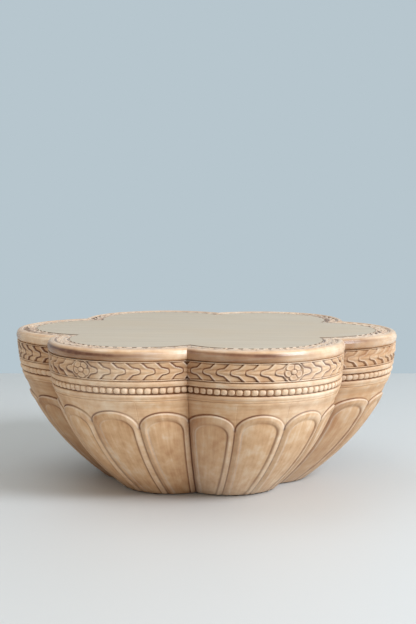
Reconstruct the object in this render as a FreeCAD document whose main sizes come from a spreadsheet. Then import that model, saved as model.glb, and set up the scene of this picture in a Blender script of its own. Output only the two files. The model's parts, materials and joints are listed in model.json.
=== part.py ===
"""Six-lobed carved drum table with a bowl-shaped body.

The plan is a hexafoil: six round lobes that meet in sharp notches. Every level of the wall is
the same outline, scaled by the reach of the bowl at that height, so a stave, a petal or a strip
is bounded by upright planes through the drum's axis. Lobe 0 points along +X. The origin is on
the floor, on the drum's axis, with +Z up. Lengths are millimetres.
"""

import FreeCAD, Part
import math
import os
import Sketcher

from FreeCAD import Placement, Rotation, Vector

# Counts of what repeats; a batten's number is the lobe centre that it crosses, in sectors from +X
LOBE_COUNT = 6
PETALS_PER_LOBE = 4
BEADS_PER_LOBE = 29
SCREWS_PER_BATTEN = 4
BATTENS = {"long": 0, "left": 1, "right": -1}

SECTOR = 360 / LOBE_COUNT
HALF_SECTOR = SECTOR / 2
PETAL_ANGLE = SECTOR / PETALS_PER_LOBE

# Driving sizes of the table: alias, value and what it measures
SIZES = (
    ("overall_width", 1067, "across two opposite lobes"),
    ("overall_height", 413, "floor to the crest of the rim"),
    ("foot_width", 571, "across two opposite lobes at the floor"),
    ("bowl_power", 2.3, "how early the bowl turns upright, a plain number"),
    ("lobe_share", 0.46, "radius of a lobe as a share of the reach"),
    ("wall_thickness", 30, "wall from its outer face to its inner face"),
    ("fit_clearance", 0.3, "between curved faces that touch"),
    ("rim_height", 34, "full height of the rounded rim"),
    ("rim_overhang", 3.5, "how far the rim stands past the wall"),
    ("crest_slope", 6, "width of the slope behind the crest"),
    ("border_width", 35, "flat carved border between crest and panel"),
    ("border_sink", 3.5, "border below the crest"),
    ("panel_drop", 1.5, "panel face below the crest"),
    ("panel_thickness", 22, "inset top panel"),
    ("panel_joint", 0.8, "open joint round the panel"),
    ("ledge_width", 14, "rebate that carries the panel"),
    ("frieze_height", 44, "leaf frieze under the rim"),
    ("frieze_inset", 2, "frieze ground behind the wall line"),
    ("strip_thickness", 12, "depth of frieze and bead strip in the wall"),
    ("upper_fillet_height", 16, "raised band over the beads"),
    ("bead_row_height", 20, "channel that holds the beads"),
    ("lower_fillet_height", 17, "raised band under the beads"),
    ("bead_channel_depth", 6, "channel behind the raised bands"),
    ("bead_diameter", 18, "half-round bead"),
    ("plain_band_height", 33, "bare band over the petals"),
    ("petal_relief", 4, "petals proud of the wall's ground"),
    ("petal_arch_height", 40, "crown of a petal above its shoulders"),
    ("petal_frame_width", 15, "raised frame at the side of a petal"),
    ("petal_crown_width", 24, "raised frame over the top of a petal"),
    ("petal_pocket_depth", 6, "inner field behind the wall line"),
    ("petal_groove_width", 3, "groove between two petals"),
    ("glide_height", 3, "glides that keep the wall off the floor"),
    ("glide_diameter", 20, "round glide"),
    ("base_board_thickness", 15, "board let into the foot"),
    ("corner_block_depth", 46, "glue block behind a notch"),
    ("corner_block_width", 84, "glue block along the wall, at the rim"),
    ("batten_width", 60, "cleats under the top panel"),
    ("batten_thickness", 20, "cleats under the top panel"),
    ("batten_end_gap", 8, "between a batten's end and the panel's ledge"),
    ("dowel_diameter", 8, "rim dowels"),
    ("dowel_length", 36, "rim dowels, half in each piece"),
    ("screw_diameter", 4.5, "wood screws"),
    ("screw_head_diameter", 9, "countersunk head"),
    ("screw_head_height", 3, "countersunk head"),
    ("batten_screw_bite", 14, "screw thread in the top panel"),
    ("base_screw_bite", 16, "screw thread in a corner block"),
    ("base_screw_inset", 14, "base screws inside a notch"),
    ("base_screw_spacing", 24, "between the two screws of a block"),
    ("cutter_overrun", 20, "how far cutters pass what they cut"),
)

# Spans between level sections in the tall and in the low pieces of wall
WALL_LEVELS = 8
STRIP_LEVELS = 3

# Degrees that a rim segment is turned through, more than its mitres leave
RIM_SWEEP = 200

doc = FreeCAD.newDocument("drum_table")
sheet = doc.addObject("Spreadsheet::Sheet", "Sizes")
for row, (alias, value, note) in enumerate(SIZES, start=1):
    sheet.set(f"A{row}", alias)
    sheet.set(f"B{row}", str(value))
    sheet.setAlias(f"B{row}", alias)
    sheet.set(f"C{row}", note)
doc.recompute()

nodes = []


def size(alias):
    """Value of one cell of the sheet."""
    return float(sheet.get(alias))


def turned(degrees):
    """Placement turned about the drum's axis."""
    return Placement(Vector(), Rotation(Vector(0, 0, 1), degrees))


def add_shape(label, shape, degrees=0):
    """Add a shape that part functions made as a sub-part, turned about the drum's axis."""
    feature = doc.addObject("Part::Feature", label)
    feature.Label = label
    feature.Shape = shape
    feature.Placement = turned(degrees)
    nodes.append(feature)
    return feature


# Heights of the bands, from the crest down
def rim_bottom():
    return size("overall_height") - size("rim_height")


def frieze_bottom():
    return rim_bottom() - size("frieze_height")


def bead_top():
    return frieze_bottom() - size("upper_fillet_height")


def bead_bottom():
    return bead_top() - size("bead_row_height")


def strip_bottom():
    return bead_bottom() - size("lower_fillet_height")


def crown_height():
    return strip_bottom() - size("plain_band_height")


def shoulder_height():
    return crown_height() - size("petal_arch_height")


def base_board_top():
    return size("glide_height") + size("base_board_thickness")


def ledge_height():
    return size("overall_height") - size("panel_drop") - size("panel_thickness")


# Outline of the bowl
def shoulder_reach():
    """Reach of the wall line at the crest's height."""
    return size("overall_width") / 2 - size("rim_overhang")


def wall_reach(height):
    """Reach of the wall line at a lobe's middle: a power curve from foot to shoulder."""
    foot = size("foot_width") / 2
    left = 1 - height / size("overall_height")
    return foot + (shoulder_reach() - foot) * (1 - left ** size("bowl_power"))


def lobe_centre(reach):
    return (1 - size("lobe_share")) * reach


def lobe_radius(reach):
    return size("lobe_share") * reach


def ray_length(azimuth, centre, radius):
    """Distance from the drum's axis to a lobe's circle, along an azimuth in degrees."""
    angle = math.radians(azimuth)
    across = centre * math.sin(angle)
    return centre * math.cos(angle) + math.sqrt(radius**2 - across**2)


def notch_angle(centre, radius):
    """Angle about a lobe's own centre from its middle to the notch."""
    across = centre * math.sin(math.radians(HALF_SECTOR)) / radius
    return HALF_SECTOR + math.degrees(math.asin(across))


def polar(distance, azimuth, height):
    angle = math.radians(azimuth)
    return Vector(distance * math.cos(angle), distance * math.sin(angle), height)


def wall_point(azimuth, inset, height):
    """Point of lobe 0's wall at an azimuth, set in from the wall line by inset."""
    reach = wall_reach(height)
    distance = ray_length(azimuth, lobe_centre(reach), lobe_radius(reach) - inset)
    return polar(distance, azimuth, height)


def wall_arc(start, end, inset, height):
    """Arc of lobe 0's wall between two azimuths."""
    middle = (start + end) / 2
    ends = [wall_point(azimuth, inset, height) for azimuth in (start, middle, end)]
    return Part.Arc(*ends).toShape()


def wall_section(start, end, outer_inset, inner_inset, height):
    """Closed level section of a wall piece, with its ends on planes through the axis."""
    outer = wall_arc(start, end, outer_inset, height)
    inner = wall_arc(end, start, inner_inset, height)
    first = Part.makeLine(outer.Vertexes[-1].Point, inner.Vertexes[0].Point)
    last = Part.makeLine(inner.Vertexes[-1].Point, outer.Vertexes[0].Point)
    return Part.Wire([outer, first, inner, last])


def level_heights(bottom, top, levels):
    return [bottom + (top - bottom) * step / levels for step in range(levels + 1)]


def wall_solid(start, end, outer_inset, inner_inset, bottom, top, levels):
    """Curved piece of wall, lofted through level sections."""
    heights = level_heights(bottom, top, levels)
    sections = [wall_section(start, end, outer_inset, inner_inset, level) for level in heights]
    return Part.makeLoft(sections, True)


def rod(diameter, length, foot, clearance=0):
    """Upright round rod, or its hole when a clearance is given."""
    return Part.makeCylinder(diameter / 2 + clearance, length, foot)


# Petal staves
def petal_arch(azimuth, half_width, shoulder, crown):
    """Upright prism with an elliptical top, pushed out along an azimuth.

    It is wider than the petal below the shoulder, where the stave's own planes bound it.
    """
    floor = -size("cutter_overrun")
    rise = crown - shoulder
    centre = Vector(0, 0, shoulder)
    if rise >= half_width:
        ellipse = Part.Ellipse(centre + Vector(0, 0, rise), centre + Vector(0, half_width, 0), centre)
        start, end = -math.pi / 2, math.pi / 2
    else:
        ellipse = Part.Ellipse(centre + Vector(0, half_width, 0), centre + Vector(0, 0, rise), centre)
        start, end = 0, math.pi
    top = Part.ArcOfEllipse(ellipse, start, end).toShape()
    first, last = top.Vertexes[0].Point, top.Vertexes[-1].Point
    right = Part.makeLine(last, Vector(0, last.y, floor))
    sole = Part.makeLine(Vector(0, last.y, floor), Vector(0, first.y, floor))
    left = Part.makeLine(Vector(0, first.y, floor), first)
    face = Part.Face(Part.Wire([top, right, sole, left]))
    prism = face.extrude(Vector(size("overall_width"), 0, 0))
    prism.rotate(Vector(), Vector(0, 0, 1), azimuth)
    return prism


def petal_solid(azimuth, side_margin, crown_margin, front_inset, back_inset):
    """Petal-shaped piece of wall between two insets, smaller than the petal by two margins."""
    lean = math.degrees(side_margin / wall_reach(shoulder_height()))
    start = azimuth - PETAL_ANGLE / 2 + lean
    end = azimuth + PETAL_ANGLE / 2 - lean
    bottom = size("glide_height")
    crown = crown_height() - crown_margin
    shell = wall_solid(start, end, front_inset, back_inset, bottom, crown_height(), WALL_LEVELS)
    edges = [wall_point(edge, 0, shoulder_height()) for edge in (start, end)]
    across = polar(1, azimuth + 90, 0)
    half_width = max(abs(edge.dot(across)) for edge in edges)
    return shell.common(petal_arch(azimuth, half_width, shoulder_height(), crown))


def dowel_foot(azimuth):
    """Lower end of a rim dowel, midway through the wall that stands behind the strips."""
    foot = wall_point(azimuth, (size("strip_thickness") + size("wall_thickness")) / 2, rim_bottom())
    foot.z -= size("dowel_length") / 2
    return foot


def petal_stave(azimuth):
    """Stave of the bowl from foot to rim, with one petal in relief and a dowel hole."""
    start = azimuth - PETAL_ANGLE / 2
    end = azimuth + PETAL_ANGLE / 2
    back = size("wall_thickness")
    ground = size("petal_relief")
    lower = wall_solid(start, end, ground, back, size("glide_height"), strip_bottom(), WALL_LEVELS)
    seat = size("strip_thickness")
    upper = wall_solid(start, end, seat, back, strip_bottom(), rim_bottom(), STRIP_LEVELS)
    root = (ground + back) / 2
    petal = petal_solid(azimuth, size("petal_groove_width") / 2, 0, 0, root)
    frame = size("petal_frame_width")
    field = petal_solid(
        azimuth, frame, size("petal_crown_width"), -size("petal_relief"), size("petal_pocket_depth")
    )
    hole = rod(size("dowel_diameter"), size("dowel_length"), dowel_foot(azimuth), size("fit_clearance"))
    return lower.fuse(upper).fuse(petal).cut(field).cut(hole)


def stave_azimuths():
    """Middle azimuths of the staves of one lobe."""
    first = PETAL_ANGLE / 2 - HALF_SECTOR
    return [first + PETAL_ANGLE * place for place in range(PETALS_PER_LOBE)]


def add_petal_staves():
    """Coopered wall of the bowl, four staves to a lobe."""
    shapes = [petal_stave(azimuth) for azimuth in stave_azimuths()]
    for lobe in range(LOBE_COUNT):
        for place, shape in enumerate(shapes):
            number = lobe * PETALS_PER_LOBE + place + 1
            add_shape(f"petal_stave_{number}", shape, lobe * SECTOR)


# Applied strips
def frieze_segment():
    """Curved board of the leaf frieze, mitred at the notches."""
    return wall_solid(
        -HALF_SECTOR, HALF_SECTOR, size("frieze_inset"), size("strip_thickness"),
        frieze_bottom(), rim_bottom(), STRIP_LEVELS,
    )


def bead_strip():
    """Moulding with a row of half-round beads between two raised bands, mitred at the notches."""
    back = size("strip_thickness")
    span = (-HALF_SECTOR, HALF_SECTOR)
    channel = size("bead_channel_depth")
    lower = wall_solid(*span, 0, back, strip_bottom(), bead_bottom(), STRIP_LEVELS)
    middle = wall_solid(*span, channel, back, bead_bottom(), bead_top(), STRIP_LEVELS)
    upper = wall_solid(*span, 0, back, bead_top(), frieze_bottom(), STRIP_LEVELS)
    level = (bead_bottom() + bead_top()) / 2
    reach = wall_reach(level)
    centre = Vector(lobe_centre(reach), 0, level)
    radius = size("bead_diameter") / 2
    half_arc = notch_angle(lobe_centre(reach), lobe_radius(reach))
    pitch = 2 * half_arc / BEADS_PER_LOBE
    beads = []
    for place in range(BEADS_PER_LOBE):
        outward = polar(1, (place + 1 / 2) * pitch - half_arc, 0)
        seat = centre + outward * (lobe_radius(reach) - radius)
        beads.append(Part.makeSphere(radius, seat, outward, 0, 90, 360))
    return middle.fuse(beads).fuse([lower, upper])


def add_strips():
    """Leaf frieze and bead moulding, one of each to a lobe."""
    frieze = frieze_segment()
    beads = bead_strip()
    for lobe in range(LOBE_COUNT):
        add_shape(f"frieze_segment_{lobe + 1}", frieze, lobe * SECTOR)
        add_shape(f"bead_strip_{lobe + 1}", beads, lobe * SECTOR)


# Rim
CENTRE = "(1 - Sizes.lobe_share) * (Sizes.overall_width / 2 - Sizes.rim_overhang)"
NOSE = "Sizes.overall_width / 2 - Sizes.rim_height / 2"
PANEL_EDGE = f"{NOSE} - Sizes.crest_slope - Sizes.border_width"
LEDGE_EDGE = f"{PANEL_EDGE} - Sizes.ledge_width"
RIM_BOTTOM = "Sizes.overall_height - Sizes.rim_height"
LEDGE_HEIGHT = "Sizes.overall_height - Sizes.panel_drop - Sizes.panel_thickness"


def body_sketch(body, role, name):
    """New sketch on one of the body's own origin planes."""
    plane = next(item for item in body.Origin.OriginFeatures if item.Role == role)
    sketch = body.newObject("Sketcher::SketchObject", name)
    sketch.AttachmentSupport = (plane, [""])
    sketch.MapMode = "FlatFace"
    return sketch


def pin_point(sketch, geometry, point, across, up):
    """Hold a sketch point at two expressions from the sketch's origin."""
    for kind, expression in (("DistanceX", across), ("DistanceY", up)):
        distance = float(sheet.evalExpression(expression))
        constraint = Sketcher.Constraint(kind, -1, 1, geometry, point, distance)
        index = sketch.addConstraint(constraint)
        sketch.setExpression(f"Constraints[{index}]", expression)


def sketch_point(across, up):
    return Vector(float(sheet.evalExpression(across)), float(sheet.evalExpression(up)), 0)


def add_lines(sketch, corners):
    """Run of straight edges through corners, each held by its expressions."""
    for here, following in zip(corners, corners[1:]):
        line = Part.LineSegment(sketch_point(*here), sketch_point(*following))
        index = sketch.addGeometry(line)
        pin_point(sketch, index, 1, *here)
        pin_point(sketch, index, 2, *following)


def rim_profile(body, label):
    """Section of the rim: half-round nose, sloped crest, carved flat and the panel's ledge."""
    sketch = body_sketch(body, "XZ_Plane", label + "_profile")
    crest = "Sizes.overall_height"
    border = "Sizes.overall_height - Sizes.border_sink"
    bottom = (NOSE, RIM_BOTTOM)
    top = (NOSE, crest)
    tip = ("Sizes.overall_width / 2", "Sizes.overall_height - Sizes.rim_height / 2")
    nose = Part.Arc(sketch_point(*bottom), sketch_point(*tip), sketch_point(*top))
    index = sketch.addGeometry(nose)
    pin_point(sketch, index, 1, *bottom)
    pin_point(sketch, index, 2, *top)
    corners = [
        top,
        (f"{NOSE} - Sizes.crest_slope", border),
        (PANEL_EDGE, border),
        (PANEL_EDGE, LEDGE_HEIGHT),
        (LEDGE_EDGE, LEDGE_HEIGHT),
        (LEDGE_EDGE, RIM_BOTTOM),
        bottom,
    ]
    add_lines(sketch, corners)
    axis = Part.LineSegment(sketch_point(CENTRE, "0"), sketch_point(CENTRE, crest))
    index = sketch.addGeometry(axis, True)
    pin_point(sketch, index, 1, CENTRE, "0")
    pin_point(sketch, index, 2, CENTRE, crest)
    return sketch


def cut_mitres(body, label):
    """Cut away all that lies past the two notch planes."""
    sketch = body_sketch(body, "XY_Plane", label + "_mitres")
    far = "Sizes.overall_width"
    notch = f"Sizes.overall_width * tan({HALF_SECTOR} deg)"
    corners = [
        ("0", "0"),
        (far, notch),
        (far, f"2 * {far}"),
        (f"-{far}", f"2 * {far}"),
        (f"-{far}", f"-2 * {far}"),
        (far, f"-2 * {far}"),
        (far, f"-({notch})"),
        ("0", "0"),
    ]
    add_lines(sketch, corners)
    pocket = body.newObject("PartDesign::Pocket", label + "_mitre_cut")
    pocket.Profile = sketch
    pocket.Type = "ThroughAll"
    pocket.Midplane = True


def drill_dowel_holes(body, label):
    """Blind holes up into the rim over the staves' dowels."""
    sketch = body_sketch(body, "XY_Plane", label + "_dowel_places")
    sketch.setExpression("AttachmentOffset.Base.z", RIM_BOTTOM)
    for azimuth in stave_azimuths():
        place = dowel_foot(azimuth)
        radius = size("dowel_diameter") / 2 + size("fit_clearance")
        circle = Part.Circle(Vector(place.x, place.y, 0), Vector(0, 0, 1), radius)
        index = sketch.addGeometry(circle)
        constraint = sketch.addConstraint(Sketcher.Constraint("Radius", index, radius))
        sketch.setExpression(f"Constraints[{constraint}]", "Sizes.dowel_diameter / 2 + Sizes.fit_clearance")
    pocket = body.newObject("PartDesign::Pocket", label + "_dowel_holes")
    pocket.Profile = sketch
    pocket.setExpression("Length", "Sizes.dowel_length / 2")
    pocket.Reversed = True


def add_rim():
    """Rim of six mitred segments, each turned about its lobe's own axis."""
    for lobe in range(LOBE_COUNT):
        label = f"rim_segment_{lobe + 1}"
        body = doc.addObject("PartDesign::Body", label)
        body.Label = label
        revolution = body.newObject("PartDesign::Revolution", label + "_turning")
        revolution.Profile = rim_profile(body, label)
        revolution.ReferenceAxis = (revolution.Profile[0], ["Axis0"])
        revolution.Angle = RIM_SWEEP
        revolution.Midplane = True
        cut_mitres(body, label)
        drill_dowel_holes(body, label)
        body.Placement = turned(lobe * SECTOR)
        nodes.append(body)


# Countersunk fasteners
def screw(length, head, clearance=0):
    """Countersunk screw that points up from its head, or its hole when a clearance is given."""
    shank = rod(size("screw_diameter"), length, head, clearance)
    wide = size("screw_head_diameter") / 2 + clearance
    narrow = size("screw_diameter") / 2 + clearance
    return shank.fuse(Part.makeCone(wide, narrow, size("screw_head_height"), head))


def add_group(label, solids):
    """Identical loose pieces as one sub-part of separate solids."""
    return add_shape(label, Part.makeCompound(solids))


def add_dowels():
    """Dowels that tie the rim to the staves, one to a stave."""
    dowels = []
    for lobe in range(LOBE_COUNT):
        for azimuth in stave_azimuths():
            dowel = rod(size("dowel_diameter"), size("dowel_length"), dowel_foot(azimuth))
            dowel.rotate(Vector(), Vector(0, 0, 1), lobe * SECTOR)
            dowels.append(dowel)
    add_group("rim_dowels", dowels)


# Top panel and its battens
def batten_reach(side):
    """Half the length of a batten, by expression: out to the ledge of the lobes that it spans."""
    ledge = f"({LEDGE_EDGE} - {CENTRE})"
    chord = f"sqrt({ledge}^2 - (Sizes.batten_width / 2)^2)"
    return f"{CENTRE} * cos({side * SECTOR} deg) + {chord} - Sizes.batten_end_gap"


def batten_offset(side):
    """Distance of a batten from the drum's axis, by expression: it crosses two lobe centres."""
    return f"{CENTRE} * sin({side * SECTOR} deg)"


def batten_screw_heads():
    """Places of the screw heads under the battens."""
    height = ledge_height() - size("batten_thickness")
    heads = []
    for side in BATTENS.values():
        reach = float(sheet.evalExpression(batten_reach(side))) - size("batten_width") / 2
        offset = float(sheet.evalExpression(batten_offset(side)))
        for place in range(SCREWS_PER_BATTEN):
            along = reach * (2 * place / (SCREWS_PER_BATTEN - 1) - 1)
            heads.append(Vector(along, offset, height))
    return heads


def batten_screws(clearance=0):
    length = size("batten_thickness") + size("batten_screw_bite")
    return [screw(length, head, clearance) for head in batten_screw_heads()]


def add_top():
    """Panel of six discs round a hexagon, its battens and their screws."""
    panel_radius = f"{PANEL_EDGE} - ({CENTRE}) - Sizes.panel_joint"
    pieces = []
    for lobe in range(LOBE_COUNT):
        disc = doc.addObject("Part::Cylinder", f"panel_lobe_{lobe + 1}")
        disc.setExpression("Radius", panel_radius)
        disc.setExpression("Height", "Sizes.panel_thickness")
        disc.setExpression("Placement.Base.x", f"{CENTRE} * cos({lobe * SECTOR} deg)")
        disc.setExpression("Placement.Base.y", f"{CENTRE} * sin({lobe * SECTOR} deg)")
        disc.setExpression("Placement.Base.z", LEDGE_HEIGHT)
        pieces.append(disc)
    heart = doc.addObject("Part::Prism", "panel_heart")
    heart.Polygon = LOBE_COUNT
    heart.setExpression("Circumradius", CENTRE)
    heart.setExpression("Height", "Sizes.panel_thickness")
    heart.setExpression("Placement.Base.z", LEDGE_HEIGHT)
    blank = doc.addObject("Part::MultiFuse", "panel_blank")
    blank.Shapes = pieces + [heart]
    blank.Refine = True
    holes = doc.addObject("Part::Feature", "batten_screw_holes")
    holes.Shape = Part.makeCompound(batten_screws(size("fit_clearance")))
    panel = doc.addObject("Part::Cut", "top_panel")
    panel.Base = blank
    panel.Tool = holes
    nodes.append(panel)
    for name, side in BATTENS.items():
        bar = doc.addObject("Part::Box", f"{name}_batten_bar")
        reach = batten_reach(side)
        bar.setExpression("Length", f"2 * ({reach})")
        bar.setExpression("Width", "Sizes.batten_width")
        bar.setExpression("Height", "Sizes.batten_thickness")
        bar.setExpression("Placement.Base.x", f"-({reach})")
        bar.setExpression("Placement.Base.y", f"{batten_offset(side)} - Sizes.batten_width / 2")
        bar.setExpression("Placement.Base.z", f"{LEDGE_HEIGHT} - Sizes.batten_thickness")
        batten = doc.addObject("Part::Cut", f"{name}_batten")
        batten.Base = bar
        batten.Tool = holes
        nodes.append(batten)
    add_group("batten_screws", batten_screws())


# Foot of the drum
def notch_ray(inset, height):
    """Distance from the drum's axis to a wall surface in a notch."""
    reach = wall_reach(height)
    return ray_length(HALF_SECTOR, lobe_centre(reach), lobe_radius(reach) - inset)


def block_inset():
    return size("wall_thickness") + size("fit_clearance")


def block_section(height):
    """Level section of a glue block: two arcs against the wall, three cuts inside."""
    lean = math.degrees(size("corner_block_width") / 2 / notch_ray(block_inset(), rim_bottom()))
    inner = notch_ray(block_inset(), height) - size("corner_block_depth")
    first = wall_arc(HALF_SECTOR - lean, HALF_SECTOR, block_inset(), height)
    second = wall_arc(HALF_SECTOR, HALF_SECTOR - lean, block_inset(), height)
    second = second.mirror(Vector(), polar(1, HALF_SECTOR + 90, 0))
    left = polar(inner, HALF_SECTOR + lean, height)
    right = polar(inner, HALF_SECTOR - lean, height)
    start = wall_point(HALF_SECTOR - lean, block_inset(), height)
    far = polar(math.hypot(start.x, start.y), HALF_SECTOR + lean, height)
    edges = [first, second, Part.makeLine(far, left), Part.makeLine(left, right)]
    return Part.Wire(edges + [Part.makeLine(right, start)])


def base_screws(clearance=0):
    """Two screws up through the base board into each glue block."""
    length = size("base_board_thickness") + size("base_screw_bite")
    distance = notch_ray(block_inset(), base_board_top()) - size("base_screw_inset")
    screws = []
    for lobe in range(LOBE_COUNT):
        azimuth = lobe * SECTOR + HALF_SECTOR
        for side in (-1, 1):
            along = polar(side * size("base_screw_spacing") / 2, azimuth + 90, 0)
            head = polar(distance, azimuth, size("glide_height")) + along
            screws.append(screw(length, head, clearance))
    return screws


def hexafoil_section(inset, height):
    """Whole inner outline of the wall at a height."""
    arc = wall_arc(-HALF_SECTOR, HALF_SECTOR, inset, height)
    arcs = []
    for lobe in range(LOBE_COUNT):
        turned_arc = arc.copy()
        turned_arc.rotate(Vector(), Vector(0, 0, 1), lobe * SECTOR)
        arcs.append(turned_arc)
    return Part.Wire(arcs)


def add_foot():
    """Base board, glue blocks behind the notches, their screws and the glides."""
    holes = base_screws(size("fit_clearance"))
    heights = (size("glide_height"), base_board_top())
    sections = [hexafoil_section(block_inset(), height) for height in heights]
    add_shape("base_board", Part.makeLoft(sections, True, True).cut(holes))
    heights = level_heights(base_board_top(), rim_bottom(), WALL_LEVELS)
    block = Part.makeLoft([block_section(height) for height in heights], True)
    block = block.cut(holes)
    for lobe in range(LOBE_COUNT):
        add_shape(f"corner_block_{lobe + 1}", block, lobe * SECTOR)
    add_group("base_screws", base_screws())
    glides = []
    middle = (size("petal_relief") + size("wall_thickness")) / 2
    for lobe in range(LOBE_COUNT):
        for azimuth in stave_azimuths()[1:-1]:
            place = wall_point(azimuth, middle, size("glide_height"))
            place.z = 0
            glide = rod(size("glide_diameter"), size("glide_height"), place)
            glide.rotate(Vector(), Vector(0, 0, 1), lobe * SECTOR)
            glides.append(glide)
    add_group("foot_glides", glides)


def check_document():
    """Stop if any object failed or any sub-part has no valid solid."""
    for item in doc.Objects:
        if {"Invalid", "Error"} & set(item.State):
            raise RuntimeError(f"{item.Label} failed: {item.State}")
    for node in nodes:
        if node.Shape.isNull() or not node.Shape.isValid() or not node.Shape.Solids:
            raise RuntimeError(f"{node.Label} has no valid solid")


def export_nodes():
    """Write each sub-part to its own file, named by its label."""
    os.makedirs("parts", exist_ok=True)
    for node in nodes:
        node.Shape.exportStep(f"parts/{node.Label}.step")
        print(node.Label, len(node.Shape.Solids), round(node.Shape.Volume))


add_petal_staves()
add_strips()
add_rim()
add_dowels()
add_top()
add_foot()
doc.recompute()
check_document()
export_nodes()
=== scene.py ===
"""Looks of the carved six-lobed drum table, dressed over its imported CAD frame."""

import json
import logging
import math
from collections.abc import Iterable
from dataclasses import dataclass
from enum import Enum
from typing import Any

import bpy
import numpy as np
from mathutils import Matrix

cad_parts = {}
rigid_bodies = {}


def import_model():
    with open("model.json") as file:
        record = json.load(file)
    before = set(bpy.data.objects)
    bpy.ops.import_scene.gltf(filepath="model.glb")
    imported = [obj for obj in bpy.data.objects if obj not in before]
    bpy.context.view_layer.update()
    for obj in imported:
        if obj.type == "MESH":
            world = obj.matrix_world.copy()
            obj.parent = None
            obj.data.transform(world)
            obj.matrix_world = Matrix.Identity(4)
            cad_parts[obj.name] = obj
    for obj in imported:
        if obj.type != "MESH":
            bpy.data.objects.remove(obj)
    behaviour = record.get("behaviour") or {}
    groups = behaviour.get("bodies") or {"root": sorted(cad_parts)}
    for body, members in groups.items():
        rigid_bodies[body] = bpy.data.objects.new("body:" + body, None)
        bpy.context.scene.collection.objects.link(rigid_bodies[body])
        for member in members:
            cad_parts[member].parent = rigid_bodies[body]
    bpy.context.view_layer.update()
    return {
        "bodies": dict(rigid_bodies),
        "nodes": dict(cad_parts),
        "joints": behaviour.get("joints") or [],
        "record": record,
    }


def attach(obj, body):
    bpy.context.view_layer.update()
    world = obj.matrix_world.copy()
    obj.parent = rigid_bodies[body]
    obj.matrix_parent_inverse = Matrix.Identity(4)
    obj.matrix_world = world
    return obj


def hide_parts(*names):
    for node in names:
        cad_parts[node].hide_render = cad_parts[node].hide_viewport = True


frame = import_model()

LOG = logging.getLogger("drum_table")
BODY = "root"
GRAIN_MAP = "grain"
GRAIN_RADIUS = 0.24
LOBE_GRAIN = 0.71
FULL_TURN = 2 * math.pi
TINY = 1e-6
WOBBLE_WAVES = 6
WOBBLE_RATES = (0.6, 1.4)
NOISE_MIDDLE = 0.5

Grid = np.ndarray


# Shared geometry


def ease(values: Grid, low: float, high: float) -> Grid:
    """Smooth step, 3s^2 - 2s^3 of the share s between low and high."""
    share = np.clip((values - low) / (high - low), 0, 1)
    return share * share * (3 - 2 * share)


def bell(values: Grid, middle: float | Grid, width: float) -> Grid:
    """Bell curve, exp(-((value - middle) / width)^2)."""
    return np.exp(-(((values - middle) / width) ** 2))


def fade(share: Grid, least: float) -> Grid:
    """Goes from least to 1 as a share goes from 0 to 1."""
    return least + (1 - least) * share


@dataclass(frozen=True)
class Line:
    """A soft line beside an edge: how far from the edge it lies, how wide it is and how deep or strong."""

    offset: float
    width: float
    depth: float = 1.0

    def at(self, distance: Grid) -> Grid:
        """Its depth at a distance from the edge, a bell curve."""
        return self.depth * bell(distance, self.offset, self.width)


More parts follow.
